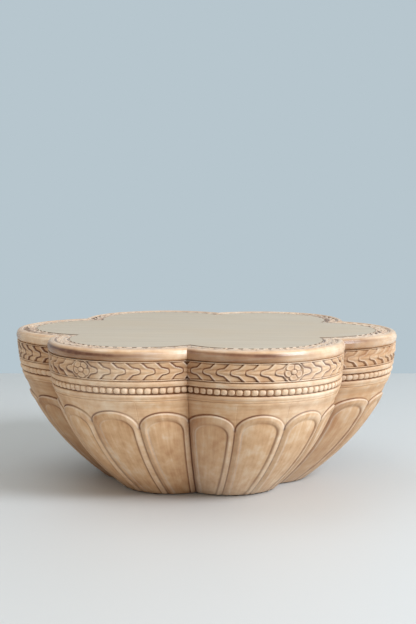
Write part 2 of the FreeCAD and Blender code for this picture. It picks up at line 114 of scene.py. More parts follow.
@dataclass(frozen=True)
class DrumShape:
    """Plan and side curve of the drum, in metres, as in the CAD source.

    The plan at any height is a ring of equal circles, the lobes. A lobe's reach from the axis grows from
    the foot to the shoulder as 1 - (1 - z / height) ^ power, and its centre and radius are fixed shares
    of that reach. The rim is 3 mm less high than the source's, and the frieze 3 mm higher.
    """

    foot_reach: float = 0.2855
    shoulder_reach: float = 0.530
    height: float = 0.413
    power: float = 2.3
    lobe_share: float = 0.46
    lobe_count: int = 6
    rim_height: float = 0.031
    frieze_height: float = 0.047
    moulding_height: float = 0.053
    notch_fade: float = 0.022
    # painted shade on a lobe's left and a painted highlight right of its middle, as if lit from the right
    left_painted_shade: float = 0.28
    right_painted_shade: float = 0.08
    right_shade_start: float = 0.5
    full_shade_turn: float = 1.1
    highlight_middle: Line = Line(0.2, 0.42, 0.42)

    def rim_bottom(self) -> float:
        """Height of the rim's underside, where the frieze ends."""
        return self.height - self.rim_height

    def frieze_bottom(self) -> float:
        """Height where the frieze meets the bead moulding."""
        return self.rim_bottom() - self.frieze_height

    def moulding_bottom(self) -> float:
        """Height where the bead moulding meets the petals' staves."""
        return self.frieze_bottom() - self.moulding_height

    def reach(self, height: Grid) -> Grid:
        """Distance from the axis to the front of a lobe at a height."""
        rise = 1 - (1 - height / self.height) ** self.power
        return self.foot_reach + (self.shoulder_reach - self.foot_reach) * rise

    def centre(self, height: Grid) -> Grid:
        """Distance from the axis to the centre of a lobe's circle."""
        return (1 - self.lobe_share) * self.reach(height)

    def radius(self, height: Grid) -> Grid:
        """Radius of a lobe's circle."""
        return self.lobe_share * self.reach(height)

    def turn(self, azimuth: Grid) -> Grid:
        """Angle about the lobe's centre that belongs to an azimuth about the drum's axis.

        The sine rule gives it: turn = azimuth + arcsin(centre / radius * sin azimuth).
        """
        ratio = (1 - self.lobe_share) / self.lobe_share
        return azimuth + np.arcsin(ratio * np.sin(azimuth))

    def azimuth(self, turn: Grid) -> Grid:
        """Azimuth about the drum's axis that belongs to an angle about the lobe's centre."""
        share = self.lobe_share
        return np.arctan2(share * np.sin(turn), 1 - share + share * np.cos(turn))

    def notch_turn(self) -> float:
        """Angle about the lobe's centre at which a lobe meets its neighbour."""
        return float(self.turn(math.pi / self.lobe_count))

    def turns(self, columns: int) -> Grid:
        """Angles about the lobe's centre from notch to notch."""
        notch = self.notch_turn()
        return np.linspace(-notch, notch, columns)

    def notch_shade(self, turn: Grid) -> Grid:
        """How far a place lies in a notch between two lobes: 1 in it, fading over a few centimetres.

        It sets where painted shade falls in the notches.
        """
        return np.exp(-(self.notch_turn() - np.abs(turn)) * self.radius(self.height) / self.notch_fade)

    def painted_side_shade(self, turn: Grid) -> Grid:
        """Painted shade on plain wood, which grows towards a lobe's notches, most on its left, as if lit from
        the right.
        """
        left = self.left_painted_shade * ease(-turn, 0, self.full_shade_turn)
        return left + self.right_painted_shade * ease(turn, self.right_shade_start, self.full_shade_turn)

    def wear_and_highlight(self, turn: Grid) -> Grid:
        """Painted highlight on plain wood, a bell over the lobe's proud middle, a little right of it."""
        return self.highlight_middle.at(turn)

    def grain(self, lobe: int, turn: Grid, radius: float = GRAIN_RADIUS) -> Grid:
        """Place round the drum on the grain map, one per column: an arc, shifted from lobe to lobe."""
        return (turn * radius + lobe * LOBE_GRAIN)[:, None]

    def ray(self, azimuth: Grid, centre: Grid, radius: Grid) -> Grid:
        """Distance from the axis to a circle, c cos a + sqrt(r^2 - (c sin a)^2)."""
        return centre * np.cos(azimuth) + np.sqrt(radius**2 - (centre * np.sin(azimuth)) ** 2)

    def place(self, lobe: float, azimuth: Grid, distance: Grid, height: Grid) -> Grid:
        """Points at a distance from the axis, turned to their lobe.

        Args:
            lobe: number of the lobe, counted from +X.
            azimuth: angle from the lobe's middle, one per column.
            distance: distance from the axis, columns by rows.
            height: height above the floor, rows, or columns by rows.

        Returns:
            Points, columns by rows by 3.
        """
        heading = azimuth[:, None] + lobe * FULL_TURN / self.lobe_count
        height = np.broadcast_to(height, distance.shape)
        return np.stack([distance * np.cos(heading), distance * np.sin(heading), height], axis=-1)

    def wall(self, lobe: float, azimuth: Grid, inset: Grid, height: Grid) -> Grid:
        """Points on the wall, set in from it by an inset measured towards the lobe's centre."""
        distance = self.ray(azimuth[:, None], self.centre(height), self.radius(height) - inset)
        return self.place(lobe, azimuth, distance, height)

    def band(self, lobe: int, turn: Grid, inset: Grid, height: Grid, back_inset: float) -> dict[str, Grid]:
        """Carved front and plain back of a band from notch to notch.

        Args:
            lobe: number of the lobe, counted from +X.
            turn: angle about the lobe's centre, one per column.
            inset: inset of the front, columns by rows.
            height: height of each row.
            back_inset: inset of the plain back.

        Returns:
            Points of the front and the back, by the names that Skin gives them.
        """
        azimuth = self.azimuth(turn)
        back = self.wall(lobe, azimuth, np.full(2, back_inset), height[[-1, 0]])
        return {"front": self.wall(lobe, azimuth, inset, height), "back": back}


def blur(values: Grid, reach: int, axis: int) -> Grid:
    """Running mean of 2 reach + 1 samples along one axis of a grid, mirrored at its ends.

    Args:
        values: the grid.
        reach: number of samples taken on each side.
        axis: the axis, 0 or 1.

    Returns:
        The mean, of the grid's shape.
    """
    lane = np.moveaxis(values, axis, 0)
    padded = np.pad(lane, ((reach + 1, reach), (0, 0)), mode="reflect")
    total = np.cumsum(padded, axis=0)
    mean = (total[2 * reach + 1 :] - total[: -2 * reach - 1]) / (2 * reach + 1)
    return np.moveaxis(mean, 0, axis)


def soften(values: Grid, reach: int) -> Grid:
    """Running mean along both axes of a grid."""
    return blur(blur(values, reach, 0), reach, 1)


def edge_distance(level: Grid, across: Grid, along: Grid) -> Grid:
    """Distance to the line where level is 1, positive where it is less: (1 - level) / |slope of level|.

    Args:
        level: the function on the grid.
        across: position of each sample across the piece, in metres.
        along: position of each sample up the piece, in metres.

    Returns:
        The signed distance in metres, good near the line.
    """
    slope_across = np.gradient(level, axis=0) / np.gradient(across, axis=0)
    slope_along = np.gradient(level, axis=1) / np.gradient(along, axis=1)
    return (1 - level) / np.maximum(np.hypot(slope_across, slope_along), TINY)


def hand_wobble(along: Grid, across: Grid, wavelength: float, seed: int) -> Grid:
    """Unevenness of hand work, -1 to 1: the mean of a few sine waves in random directions.

    Args:
        along: place along the piece.
        across: place across the piece.
        wavelength: usual length of a wave, in metres.
        seed: seed of the waves.

    Returns:
        The unevenness, of the grid's shape.
    """
    chance = np.random.default_rng(seed)
    angle, phase = chance.uniform(0, FULL_TURN, (2, WOBBLE_WAVES))
    rate = FULL_TURN / wavelength * chance.uniform(*WOBBLE_RATES, WOBBLE_WAVES)
    run = along[..., None] * np.cos(angle) + across[..., None] * np.sin(angle)
    return np.sin(rate * run + phase).mean(axis=-1)


def path_length(first: Grid, second: Grid) -> Grid:
    """Length along a path of two coordinates, from its first point to each point."""
    steps = np.hypot(np.diff(first), np.diff(second))
    return np.concatenate([[0.0], np.cumsum(steps)])


@dataclass
class Skin:
    """A closed piece as ring sections, with what its finish reads.

    Neighbouring sections are joined by quads, and the first and last section are closed by flat ends.
    Going from section to section and then along a section turns by the right hand to the outside.
    """

    front: Grid
    back: Grid
    along: Grid
    up: Grid
    sink: Grid
    upright: Grid
    # glaze with painted shade, and wear with painted highlights, that the piece adds
    glaze_and_shade_marks: Grid
    wear_and_highlight_marks: Grid
    blur_reach: int = 4
    glaze_and_shade_depth: float = 0.0016

    def tones(self) -> tuple[Grid, Grid]:
        """Glaze with painted shade in the hollows, and rubbed edges with painted highlights, 0 to 1.

        The carving's depth less its running mean is positive in hollows and negative on edges; the dark in
        the hollows stands partly for glaze and partly for the shade that falls there. The piece's own marks
        of glaze and painted shade, and of wear and painted highlights, are added.

        Returns:
            The glaze with painted shade, and the rubbed edges with painted highlights.
        """
        mean = soften(self.sink, self.blur_reach)
        hollow = (self.sink - mean) / self.glaze_and_shade_depth
        glaze_and_shade = np.clip(hollow, 0, 1) + self.glaze_and_shade_marks
        return np.clip(glaze_and_shade, 0, 1), np.clip(np.clip(-hollow, 0, 1) + self.wear_and_highlight_marks, 0, 1)

    def build(self, name: str) -> bpy.types.Object:
        """Makes the mesh object with its map of the surface and its painted attributes.

        Args:
            name: name of the piece and its mesh.

        Returns:
            The piece, linked to the scene.
        """
        sections, carved = self.front.shape[:2]
        points = np.concatenate([self.front, self.back], axis=1)
        ring = points.shape[1]
        ids = np.arange(sections * ring, dtype=np.int32).reshape(sections, ring)
        ahead = np.roll(ids, -1, axis=1)
        quads = np.stack([ids[:-1], ids[1:], ahead[1:], ahead[:-1]], axis=-1)
        smooth = np.broadcast_to(np.arange(ring) < carved - 1, (sections - 1, ring)).ravel()
        corners = np.concatenate([quads.ravel(), ids[0], ids[-1][::-1]])
        sizes = np.concatenate([np.full(smooth.size, 4), [ring, ring]])
        mesh = bpy.data.meshes.new(name)
        mesh.vertices.add(ids.size)
        mesh.vertices.foreach_set("co", points.astype(np.float32).ravel())
        mesh.loops.add(corners.size)
        mesh.loops.foreach_set("vertex_index", corners)
        mesh.polygons.add(sizes.size)
        mesh.polygons.foreach_set("loop_start", (np.cumsum(sizes) - sizes).astype(np.int32))
        mesh.polygons.foreach_set("use_smooth", np.concatenate([smooth, [False, False]]))
        mesh.update(calc_edges=True)
        self._paint(mesh, corners, ring - carved)
        obj = bpy.data.objects.new(name, mesh)
        bpy.context.scene.collection.objects.link(obj)
        return obj

    def _paint(self, mesh: bpy.types.Mesh, corners: Grid, extra: int) -> None:
        """Stores the surface map and the painted attributes, the last front value carried to the back.

        Args:
            mesh: the finished mesh.
            corners: vertex number of each face corner.
            extra: number of back points in a section.
        """
        glaze_and_shade, wear_and_highlight = self.tones()
        # painted shade rides with the glaze, painted highlights with the wear
        layers = {"glaze_and_shade": glaze_and_shade, "wear_and_highlight": wear_and_highlight, "upright": self.upright}
        for name, values in layers.items():
            spread = np.pad(values, ((0, 0), (0, extra)), mode="edge").astype(np.float32)
            mesh.attributes.new(name, "FLOAT", "POINT").data.foreach_set("value", spread.ravel())
        flat = np.stack([self.along, self.up], axis=-1)
        flat = np.pad(flat, ((0, 0), (0, extra), (0, 0)), mode="edge").reshape(-1, 2)
        layer = mesh.uv_layers.new(name=GRAIN_MAP)
        layer.data.foreach_set("uv", flat[corners].astype(np.float32).ravel())


# Shader tools


class Signal:
    """A number that changes over the surface. Its Python operators add Math nodes."""

    def __init__(self, bench: "Bench", socket: bpy.types.NodeSocket) -> None:
        """Wraps an output socket of the bench's node tree."""
        self.bench = bench
        self.socket = socket

    def _math(self, operation: str, *terms: Any) -> "Signal":
        """The result of a Math node on terms that are signals or numbers."""
        made = self.bench.node("ShaderNodeMath", {"operation": operation}, dict(enumerate(terms)))
        return Signal(self.bench, made.outputs[0])

    def __add__(self, other: Any) -> "Signal":
        """Sum."""
        return self._math("ADD", self, other)

    def __radd__(self, other: Any) -> "Signal":
        """Sum, the other way round."""
        return self._math("ADD", other, self)

    def __sub__(self, other: Any) -> "Signal":
        """Difference."""
        return self._math("SUBTRACT", self, other)

    def __rsub__(self, other: Any) -> "Signal":
        """Difference, the other way round."""
        return self._math("SUBTRACT", other, self)

    def __mul__(self, other: Any) -> "Signal":
        """Product."""
        return self._math("MULTIPLY", self, other)

    def __rmul__(self, other: Any) -> "Signal":
        """Product, the other way round."""
        return self._math("MULTIPLY", other, self)

    def clipped(self) -> "Signal":
        """The same number, kept between 0 and 1."""
        return self._math("MINIMUM", self._math("MAXIMUM", self, 0.0), 1.0)

    def sharpened(self, low: float, high: float) -> "Signal":
        """0 below low, 1 above high and a straight ramp between."""
        return ((self - low) * (1 / (high - low))).clipped()


def weighed(signals: tuple[Signal, ...], shares: tuple[float, ...]) -> Signal:
    """Sum of signals, each times its share."""
    first, *rest = (signal * share for signal, share in zip(signals, shares))
    return sum(rest, start=first)


@dataclass(frozen=True)
class Pattern:
    """Noise of a finish: its waves in a metre along each axis, and how much finer detail it has."""

    waves: tuple[float, float, float]
    detail: float


class Bench:
    """The node tree of a material or a world and the few ways in which this file adds nodes to it."""

    def __init__(self, owner: bpy.types.Material | bpy.types.World) -> None:
        """Empties the owner's node tree.

        Args:
            owner: the material or world.
        """
        owner.use_nodes = True
        self.owner = owner
        self.tree = owner.node_tree
        self.tree.nodes.clear()

    @classmethod
    def named(cls, name: str) -> "Bench":
        """Starts an empty material."""
        return cls(bpy.data.materials.new(name))

    def node(self, kind: str, settings: dict | None = None, inputs: dict | None = None) -> bpy.types.Node:
        """Adds a node.

        Args:
            kind: the node's type.
            settings: properties that are set first. The entry "stops" gives a ramp's places and colours.
            inputs: values or links of its sockets, by name or number.

        Returns:
            The node.
        """
        made = self.tree.nodes.new(kind)
        settings = dict(settings or {})
        stops = settings.pop("stops", ())
        for name, setting in settings.items():
            setattr(made, name, setting)
        for number, (place, colour) in enumerate(stops):
            ramp = made.color_ramp
            stop = ramp.elements[number] if number < len(ramp.elements) else ramp.elements.new(place)
            stop.position = place
            stop.color = colour
        for name, given in (inputs or {}).items():
            source = given.socket if isinstance(given, Signal) else given
            if isinstance(source, bpy.types.NodeSocket):
                self.tree.links.new(source, made.inputs[name])
            else:
                made.inputs[name].default_value = source
        return made

    def stretched(self, place: Any, scale: tuple[float, float, float]) -> Any:
        """Coordinates multiplied by a scale for each axis."""
        return self.node("ShaderNodeVectorMath", {"operation": "MULTIPLY"}, {0: place, 1: scale}).outputs[0]

    def noise(self, place: Any, pattern: Pattern) -> Signal:
        """Soft noise, about 0 to 1."""
        inputs = {"Vector": self.stretched(place, pattern.waves), "Scale": 1.0, "Detail": pattern.detail}
        return Signal(self, self.node("ShaderNodeTexNoise", None, inputs).outputs["Fac"])

    def grain_place(self) -> Any:
        """Places on the piece's own grain map."""
        return self.node("ShaderNodeUVMap", {"uv_map": GRAIN_MAP}).outputs["UV"]

    def frame_place(self) -> Any:
        """Places in the shared frame."""
        return self.node("ShaderNodeTexCoord").outputs["Object"]

    def attribute(self, name: str) -> Signal:
        """A number painted on the mesh."""
        return Signal(self, self.node("ShaderNodeAttribute", {"attribute_name": name}).outputs["Fac"])

    def blend(self, factor: Any, first: Any, second: Any, kind: str = "MIX") -> Any:
        """Two colours mixed by a factor."""
        inputs = {0: factor, 6: first, 7: second}
        return self.node("ShaderNodeMix", {"data_type": "RGBA", "blend_type": kind}, inputs).outputs[2]

    def ramp(self, factor: Signal, stops: tuple) -> Any:
        """The colour that a ramp gives for a factor."""
        return self.node("ShaderNodeValToRGB", {"stops": stops}, {0: factor}).outputs[0]

    def bump(self, height: Signal, strength: float, distance: float) -> Any:
        """A normal roughened by a height."""
        inputs = {"Height": height, "Strength": strength, "Distance": distance}
        return self.node("ShaderNodeBump", None, inputs).outputs[0]

    def surface(self, **sockets: Any) -> bpy.types.Material:
        """Ends the material in a Principled surface. Socket names have their spaces as underscores.

        Args:
            sockets: values or links of the surface's sockets.

        Returns:
            The material.
        """
        inputs = {name.replace("_", " "): given for name, given in sockets.items()}
        shader = self.node("ShaderNodeBsdfPrincipled", None, inputs)
        return self.shown(shader.outputs[0])

    def shown(self, shader: bpy.types.NodeSocket) -> Any:
        """Links a shader to the output and returns the material or world.

        Args:
            shader: output socket of the shader.

        Returns:
            The material or world.
        """
        kind = "World" if isinstance(self.owner, bpy.types.World) else "Material"
        self.node(f"ShaderNodeOutput{kind}", None, {"Surface": shader})
        return self.owner

    def one_sided(self, shader: bpy.types.NodeSocket) -> Any:
        """The shader on front faces and nothing on back faces.

        Args:
            shader: output socket of the shader.

        Returns:
            Output socket of the mixed shader.
        """
        behind = self.node("ShaderNodeNewGeometry").outputs["Backfacing"]
        clear = self.node("ShaderNodeBsdfTransparent").outputs[0]
        return self.node("ShaderNodeMixShader", None, {0: behind, 1: shader, 2: clear}).outputs[0]

    def looked_at(self) -> Signal:
        """1 for rays of the camera and those mirrored or let through on their way, 0 for other light.

        Returns:
            The number as a signal.
        """
        rays = self.node("ShaderNodeLightPath").outputs
        names = ("Is Camera Ray", "Is Glossy Ray", "Is Transmission Ray")
        camera, glossy, through = (Signal(self, rays[name]) for name in names)
        return (camera + glossy + through).clipped()


def tint(red: float, green: float, blue: float) -> tuple[float, float, float, float]:
    """A colour written as on a display, 0 to 255, as the linear colour that nodes take.

    Args:
        red: red, 0 to 255.
        green: green, 0 to 255.
        blue: blue, 0 to 255.

    Returns:
        Linear red, green and blue, and an alpha of 1.
    """
    shares = np.array([red, green, blue]) / 255
    linear = np.where(shares <= 0.04045, shares / 12.92, ((shares + 0.055) / 1.055) ** 2.4)
    return (*(float(value) for value in linear), 1.0)


class GrainRun(Enum):
    """Which axis of a CAD piece the wood grain follows, as waves in a metre along x, y and z."""

    ALONG_X = (5.0, 110.0, 110.0)
    ALONG_Y = (110.0, 5.0, 110.0)
    ALONG_Z = (110.0, 110.0, 5.0)

    def pattern(self, finer: float, detail: float) -> Pattern:
        """Noise that follows the grain, a number of times finer than the grain's own waves."""
        return Pattern(tuple(finer * waves for waves in self.value), detail)


# Finishes


@dataclass(frozen=True)
class CarvedWood:
    """Pale wood with a brown glaze wiped into the carving and rubbed off its edges, its colours also painting
    shade and highlights.
    """

    deep: tuple = tint(191, 142, 98)
    middle: tuple = tint(218, 178, 136)
    pale: tuple = tint(236, 212, 182)
    # dark brown of the glaze, also used to paint shade
    glaze_and_shade: tuple = tint(104, 56, 24)
    # pale of rubbed edges and of the wash, also used to paint highlights
    rub_and_highlight: tuple = tint(246, 234, 216)
    band_streaks: Pattern = Pattern((7.0, 130.0, 1.0), 4.0)
    petal_streaks: Pattern = Pattern((110.0, 9.0, 1.0), 4.0)
    blotches: Pattern = Pattern((26.0, 22.0, 1.0), 5.0)
    clouds: Pattern = Pattern((7.0, 9.0, 1.0), 2.0)
    patches: Pattern = Pattern((60.0, 60.0, 1.0), 4.0)
    pores: Pattern = Pattern((90.0, 620.0, 1.0), 3.0)
    wash_streaks: Pattern = Pattern((14.0, 160.0, 1.0), 3.0)
    tone_shares: tuple[float, ...] = (0.24, 0.40, 0.20, 0.16)
    tone_span: tuple[float, float] = (0.35, 0.65)
    deepening: float = 0.30
    wash: float = 0.0
    wash_span: tuple[float, float] = (0.5, 0.72)
    glaze_patches: float = 0.7
    glaze_least: float = 0.62
    rub_patches: float = 0.5
    rub_least: float = 0.2
    roughness: float = 0.58
    roughness_swing: float = 0.16
    glaze_roughness: float = 0.15
    gloss: float = 0.30
    coat: float = 0.10
    coat_roughness: float = 0.38
    bump_shares: tuple[float, ...] = (0.4, 0.3, 0.3)
    bump_strength: float = 0.25
    bump_depth: float = 0.0008

    def material(self, name: str) -> bpy.types.Material:
        """Streaks round the drum on bands and up the petals, blotches, glaze with painted shade, rubbed edges
        with painted highlights, and pores.

        Args:
            name: the material's name.

        Returns:
            The material.
        """
        bench = Bench.named(name)
        place = bench.grain_place()
        glaze_and_shade, wear_and_highlight, upright = (bench.attribute(layer) for layer in ("glaze_and_shade", "wear_and_highlight", "upright"))
        streaks = bench.noise(place, self.band_streaks) * (1 - upright)
        streaks = streaks + bench.noise(place, self.petal_streaks) * upright
        looks = (self.blotches, self.clouds, self.patches, self.pores)
        blotches, clouds, patches, pores = (bench.noise(place, pattern) for pattern in looks)
        tone = weighed((streaks, blotches, clouds, patches), self.tone_shares).sharpened(*self.tone_span)
        shades = ((0.0, self.deep), (0.5, self.middle), (1.0, self.pale))
        wood = bench.ramp(tone - glaze_and_shade * self.deepening, shades)
        wash = bench.noise(place, self.wash_streaks).sharpened(*self.wash_span) * self.wash
        washed = bench.blend(wash, wood, self.rub_and_highlight)
        # glaze with painted shade, then wear with painted highlights, over the wood
        shade_and_stain = (glaze_and_shade * (patches * self.glaze_patches + self.glaze_least)).clipped()
        shaded_and_stained = bench.blend(shade_and_stain, washed, self.glaze_and_shade)
        wear_and_highlight_marks = (wear_and_highlight * (patches * self.rub_patches + self.rub_least)).clipped()
        roughness = self.roughness + (blotches - NOISE_MIDDLE) * self.roughness_swing
        height = weighed((streaks, blotches, pores), self.bump_shares)
        return bench.surface(
            Base_Color=bench.blend(wear_and_highlight_marks, shaded_and_stained, self.rub_and_highlight),
            Roughness=roughness + glaze_and_shade * self.glaze_roughness,
            Normal=bench.bump(height, self.bump_strength, self.bump_depth),
            Specular_IOR_Level=self.gloss,
            Coat_Weight=self.coat,
            Coat_Roughness=self.coat_roughness,
        )


@dataclass(frozen=True)
class WashedTop:
    """Grey-beige washed boards of the inset top, with long faint streaks."""

    pale: tuple = tint(191, 178, 159)
    grey: tuple = tint(183, 169, 150)
    warm: tuple = tint(188, 168, 141)
    # dark of the painted shade on the panel's edge
    glaze_and_shade: tuple = tint(116, 88, 62)
    streaks: Pattern = Pattern((3.0, 46.0, 1.0), 5.0)
    pores: Pattern = Pattern((14.0, 380.0, 1.0), 3.0)
    clouds: Pattern = Pattern((4.0, 5.0, 1.0), 2.0)
    streak_span: tuple[float, float] = (0.35, 0.65)
    cloud_span: tuple[float, float] = (0.45, 0.75)
    warmth: float = 0.45
    roughness: float = 0.62
    roughness_swing: float = 0.16
    gloss: float = 0.3
    bump_shares: tuple[float, ...] = (0.4, 0.6)
    bump_strength: float = 0.16
    bump_depth: float = 0.0007

    def material(self, name: str) -> bpy.types.Material:
        """Streaks along x, slow warm clouds and painted shade along the edge.

        Args:
            name: the material's name.

        Returns:
            The material.
        """
        bench = Bench.named(name)
        place = bench.grain_place()
        looks = (self.streaks, self.pores, self.clouds)
        streaks, pores, clouds = (bench.noise(place, pattern) for pattern in looks)
        wood = bench.blend(streaks.sharpened(*self.streak_span), self.grey, self.pale)
        clouded = bench.blend(clouds.sharpened(*self.cloud_span) * self.warmth, wood, self.warm)
        height = weighed((streaks, pores), self.bump_shares)
        return bench.surface(
            Base_Color=bench.blend(bench.attribute("glaze_and_shade").clipped(), clouded, self.glaze_and_shade),
            Roughness=self.roughness + (streaks - NOISE_MIDDLE) * self.roughness_swing,
            Normal=bench.bump(height, self.bump_strength, self.bump_depth),
            Specular_IOR_Level=self.gloss,
        )


@dataclass(frozen=True)
class FrameWood:
    """Plain sawn wood of the hidden frame."""

    grain: GrainRun
    light: tuple = tint(205, 172, 130)
    dark: tuple = tint(158, 120, 82)
    band_fineness: float = 0.35
    band_detail: float = 3.0
    pore_fineness: float = 3.0
    pore_detail: float = 4.0
    tone_shares: tuple[float, ...] = (0.6, 0.4)
    tone_span: tuple[float, float] = (0.36, 0.64)
    roughness: float = 0.7
    roughness_swing: float = 0.12
    bump_strength: float = 0.3
    bump_depth: float = 0.0006

    def material(self, name: str) -> bpy.types.Material:
        """Straight grain along one axis, with broad bands and fine pores.

        Args:
            name: the material's name.

        Returns:
            The material.
        """
        bench = Bench.named(name)
        place = bench.frame_place()
        bands = bench.noise(place, self.grain.pattern(self.band_fineness, self.band_detail))
        pores = bench.noise(place, self.grain.pattern(self.pore_fineness, self.pore_detail))
        tone = weighed((bands, pores), self.tone_shares).sharpened(*self.tone_span)
        return bench.surface(
            Base_Color=bench.blend(tone, self.dark, self.light),
            Roughness=self.roughness + pores * self.roughness_swing,
            Normal=bench.bump(pores, self.bump_strength, self.bump_depth),
        )


@dataclass(frozen=True)
class ScrewSteel:
    """Bright zinc-plated steel of the screws."""

    bright: tuple = tint(200, 200, 196)
    dull: tuple = tint(160, 158, 150)
    clouds: Pattern = Pattern((260.0, 260.0, 260.0), 3.0)
    cloud_span: tuple[float, float] = (0.4, 0.6)
    roughness: float = 0.26
    roughness_swing: float = 0.2

    def material(self, name: str) -> bpy.types.Material:
        """Metal with cloudy plating.

        Args:
            name: the material's name.

        Returns:
            The material.
        """
        bench = Bench.named(name)
        clouds = bench.noise(bench.frame_place(), self.clouds)
        return bench.surface(
            Base_Color=bench.blend(clouds.sharpened(*self.cloud_span), self.dull, self.bright),
            Metallic=1.0,
            Roughness=self.roughness + clouds * self.roughness_swing,
        )


@dataclass(frozen=True)
class GlidePlastic:
    """Dark moulded plastic of the foot glides."""

    body: tuple = tint(48, 40, 34)
    scuffed: tuple = tint(84, 76, 68)
    scuffs: Pattern = Pattern((180.0, 180.0, 180.0), 4.0)
    scuff_span: tuple[float, float] = (0.5, 0.75)
    roughness: float = 0.5
    roughness_swing: float = 0.2
    bump_strength: float = 0.3
    bump_depth: float = 0.0004

    def material(self, name: str) -> bpy.types.Material:
        """Fine moulded texture with scuffs.

        Args:
            name: the material's name.

        Returns:
            The material.
        """
        bench = Bench.named(name)
        scuffs = bench.noise(bench.frame_place(), self.scuffs)
        return bench.surface(
            Base_Color=bench.blend(scuffs.sharpened(*self.scuff_span), self.body, self.scuffed),
            Roughness=self.roughness + scuffs * self.roughness_swing,
            Normal=bench.bump(scuffs, self.bump_strength, self.bump_depth),
        )


def dress(obj: bpy.types.Object, material: bpy.types.Material, nodes: tuple[str, ...]) -> None:
    """Gives a new piece its finish, its body and the CAD nodes that it stands for.

    Args:
        obj: the new piece.
        material: its finish.
        nodes: names of the CAD nodes that it replaces.
    """
    obj.data.materials.append(material)
    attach(obj, BODY)
    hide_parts(*nodes)
    LOG.info("%s: %d vertices, stands for %s", obj.name, len(obj.data.vertices), ", ".join(nodes))


def build_row(part: str, material: bpy.types.Material, skins: Iterable[Skin]) -> None:
    """Builds carved pieces numbered from 1, each in place of the CAD node of its name.

    Args:
        part: the CAD name without its number.
        material: the finish of all pieces.
        skins: the pieces in order.
    """
    for number, skin in enumerate(skins, start=1):
        name = f"{part}_{number}"
        dress(skin.build(f"carved_{name}"), material, (name,))


# Carved pieces


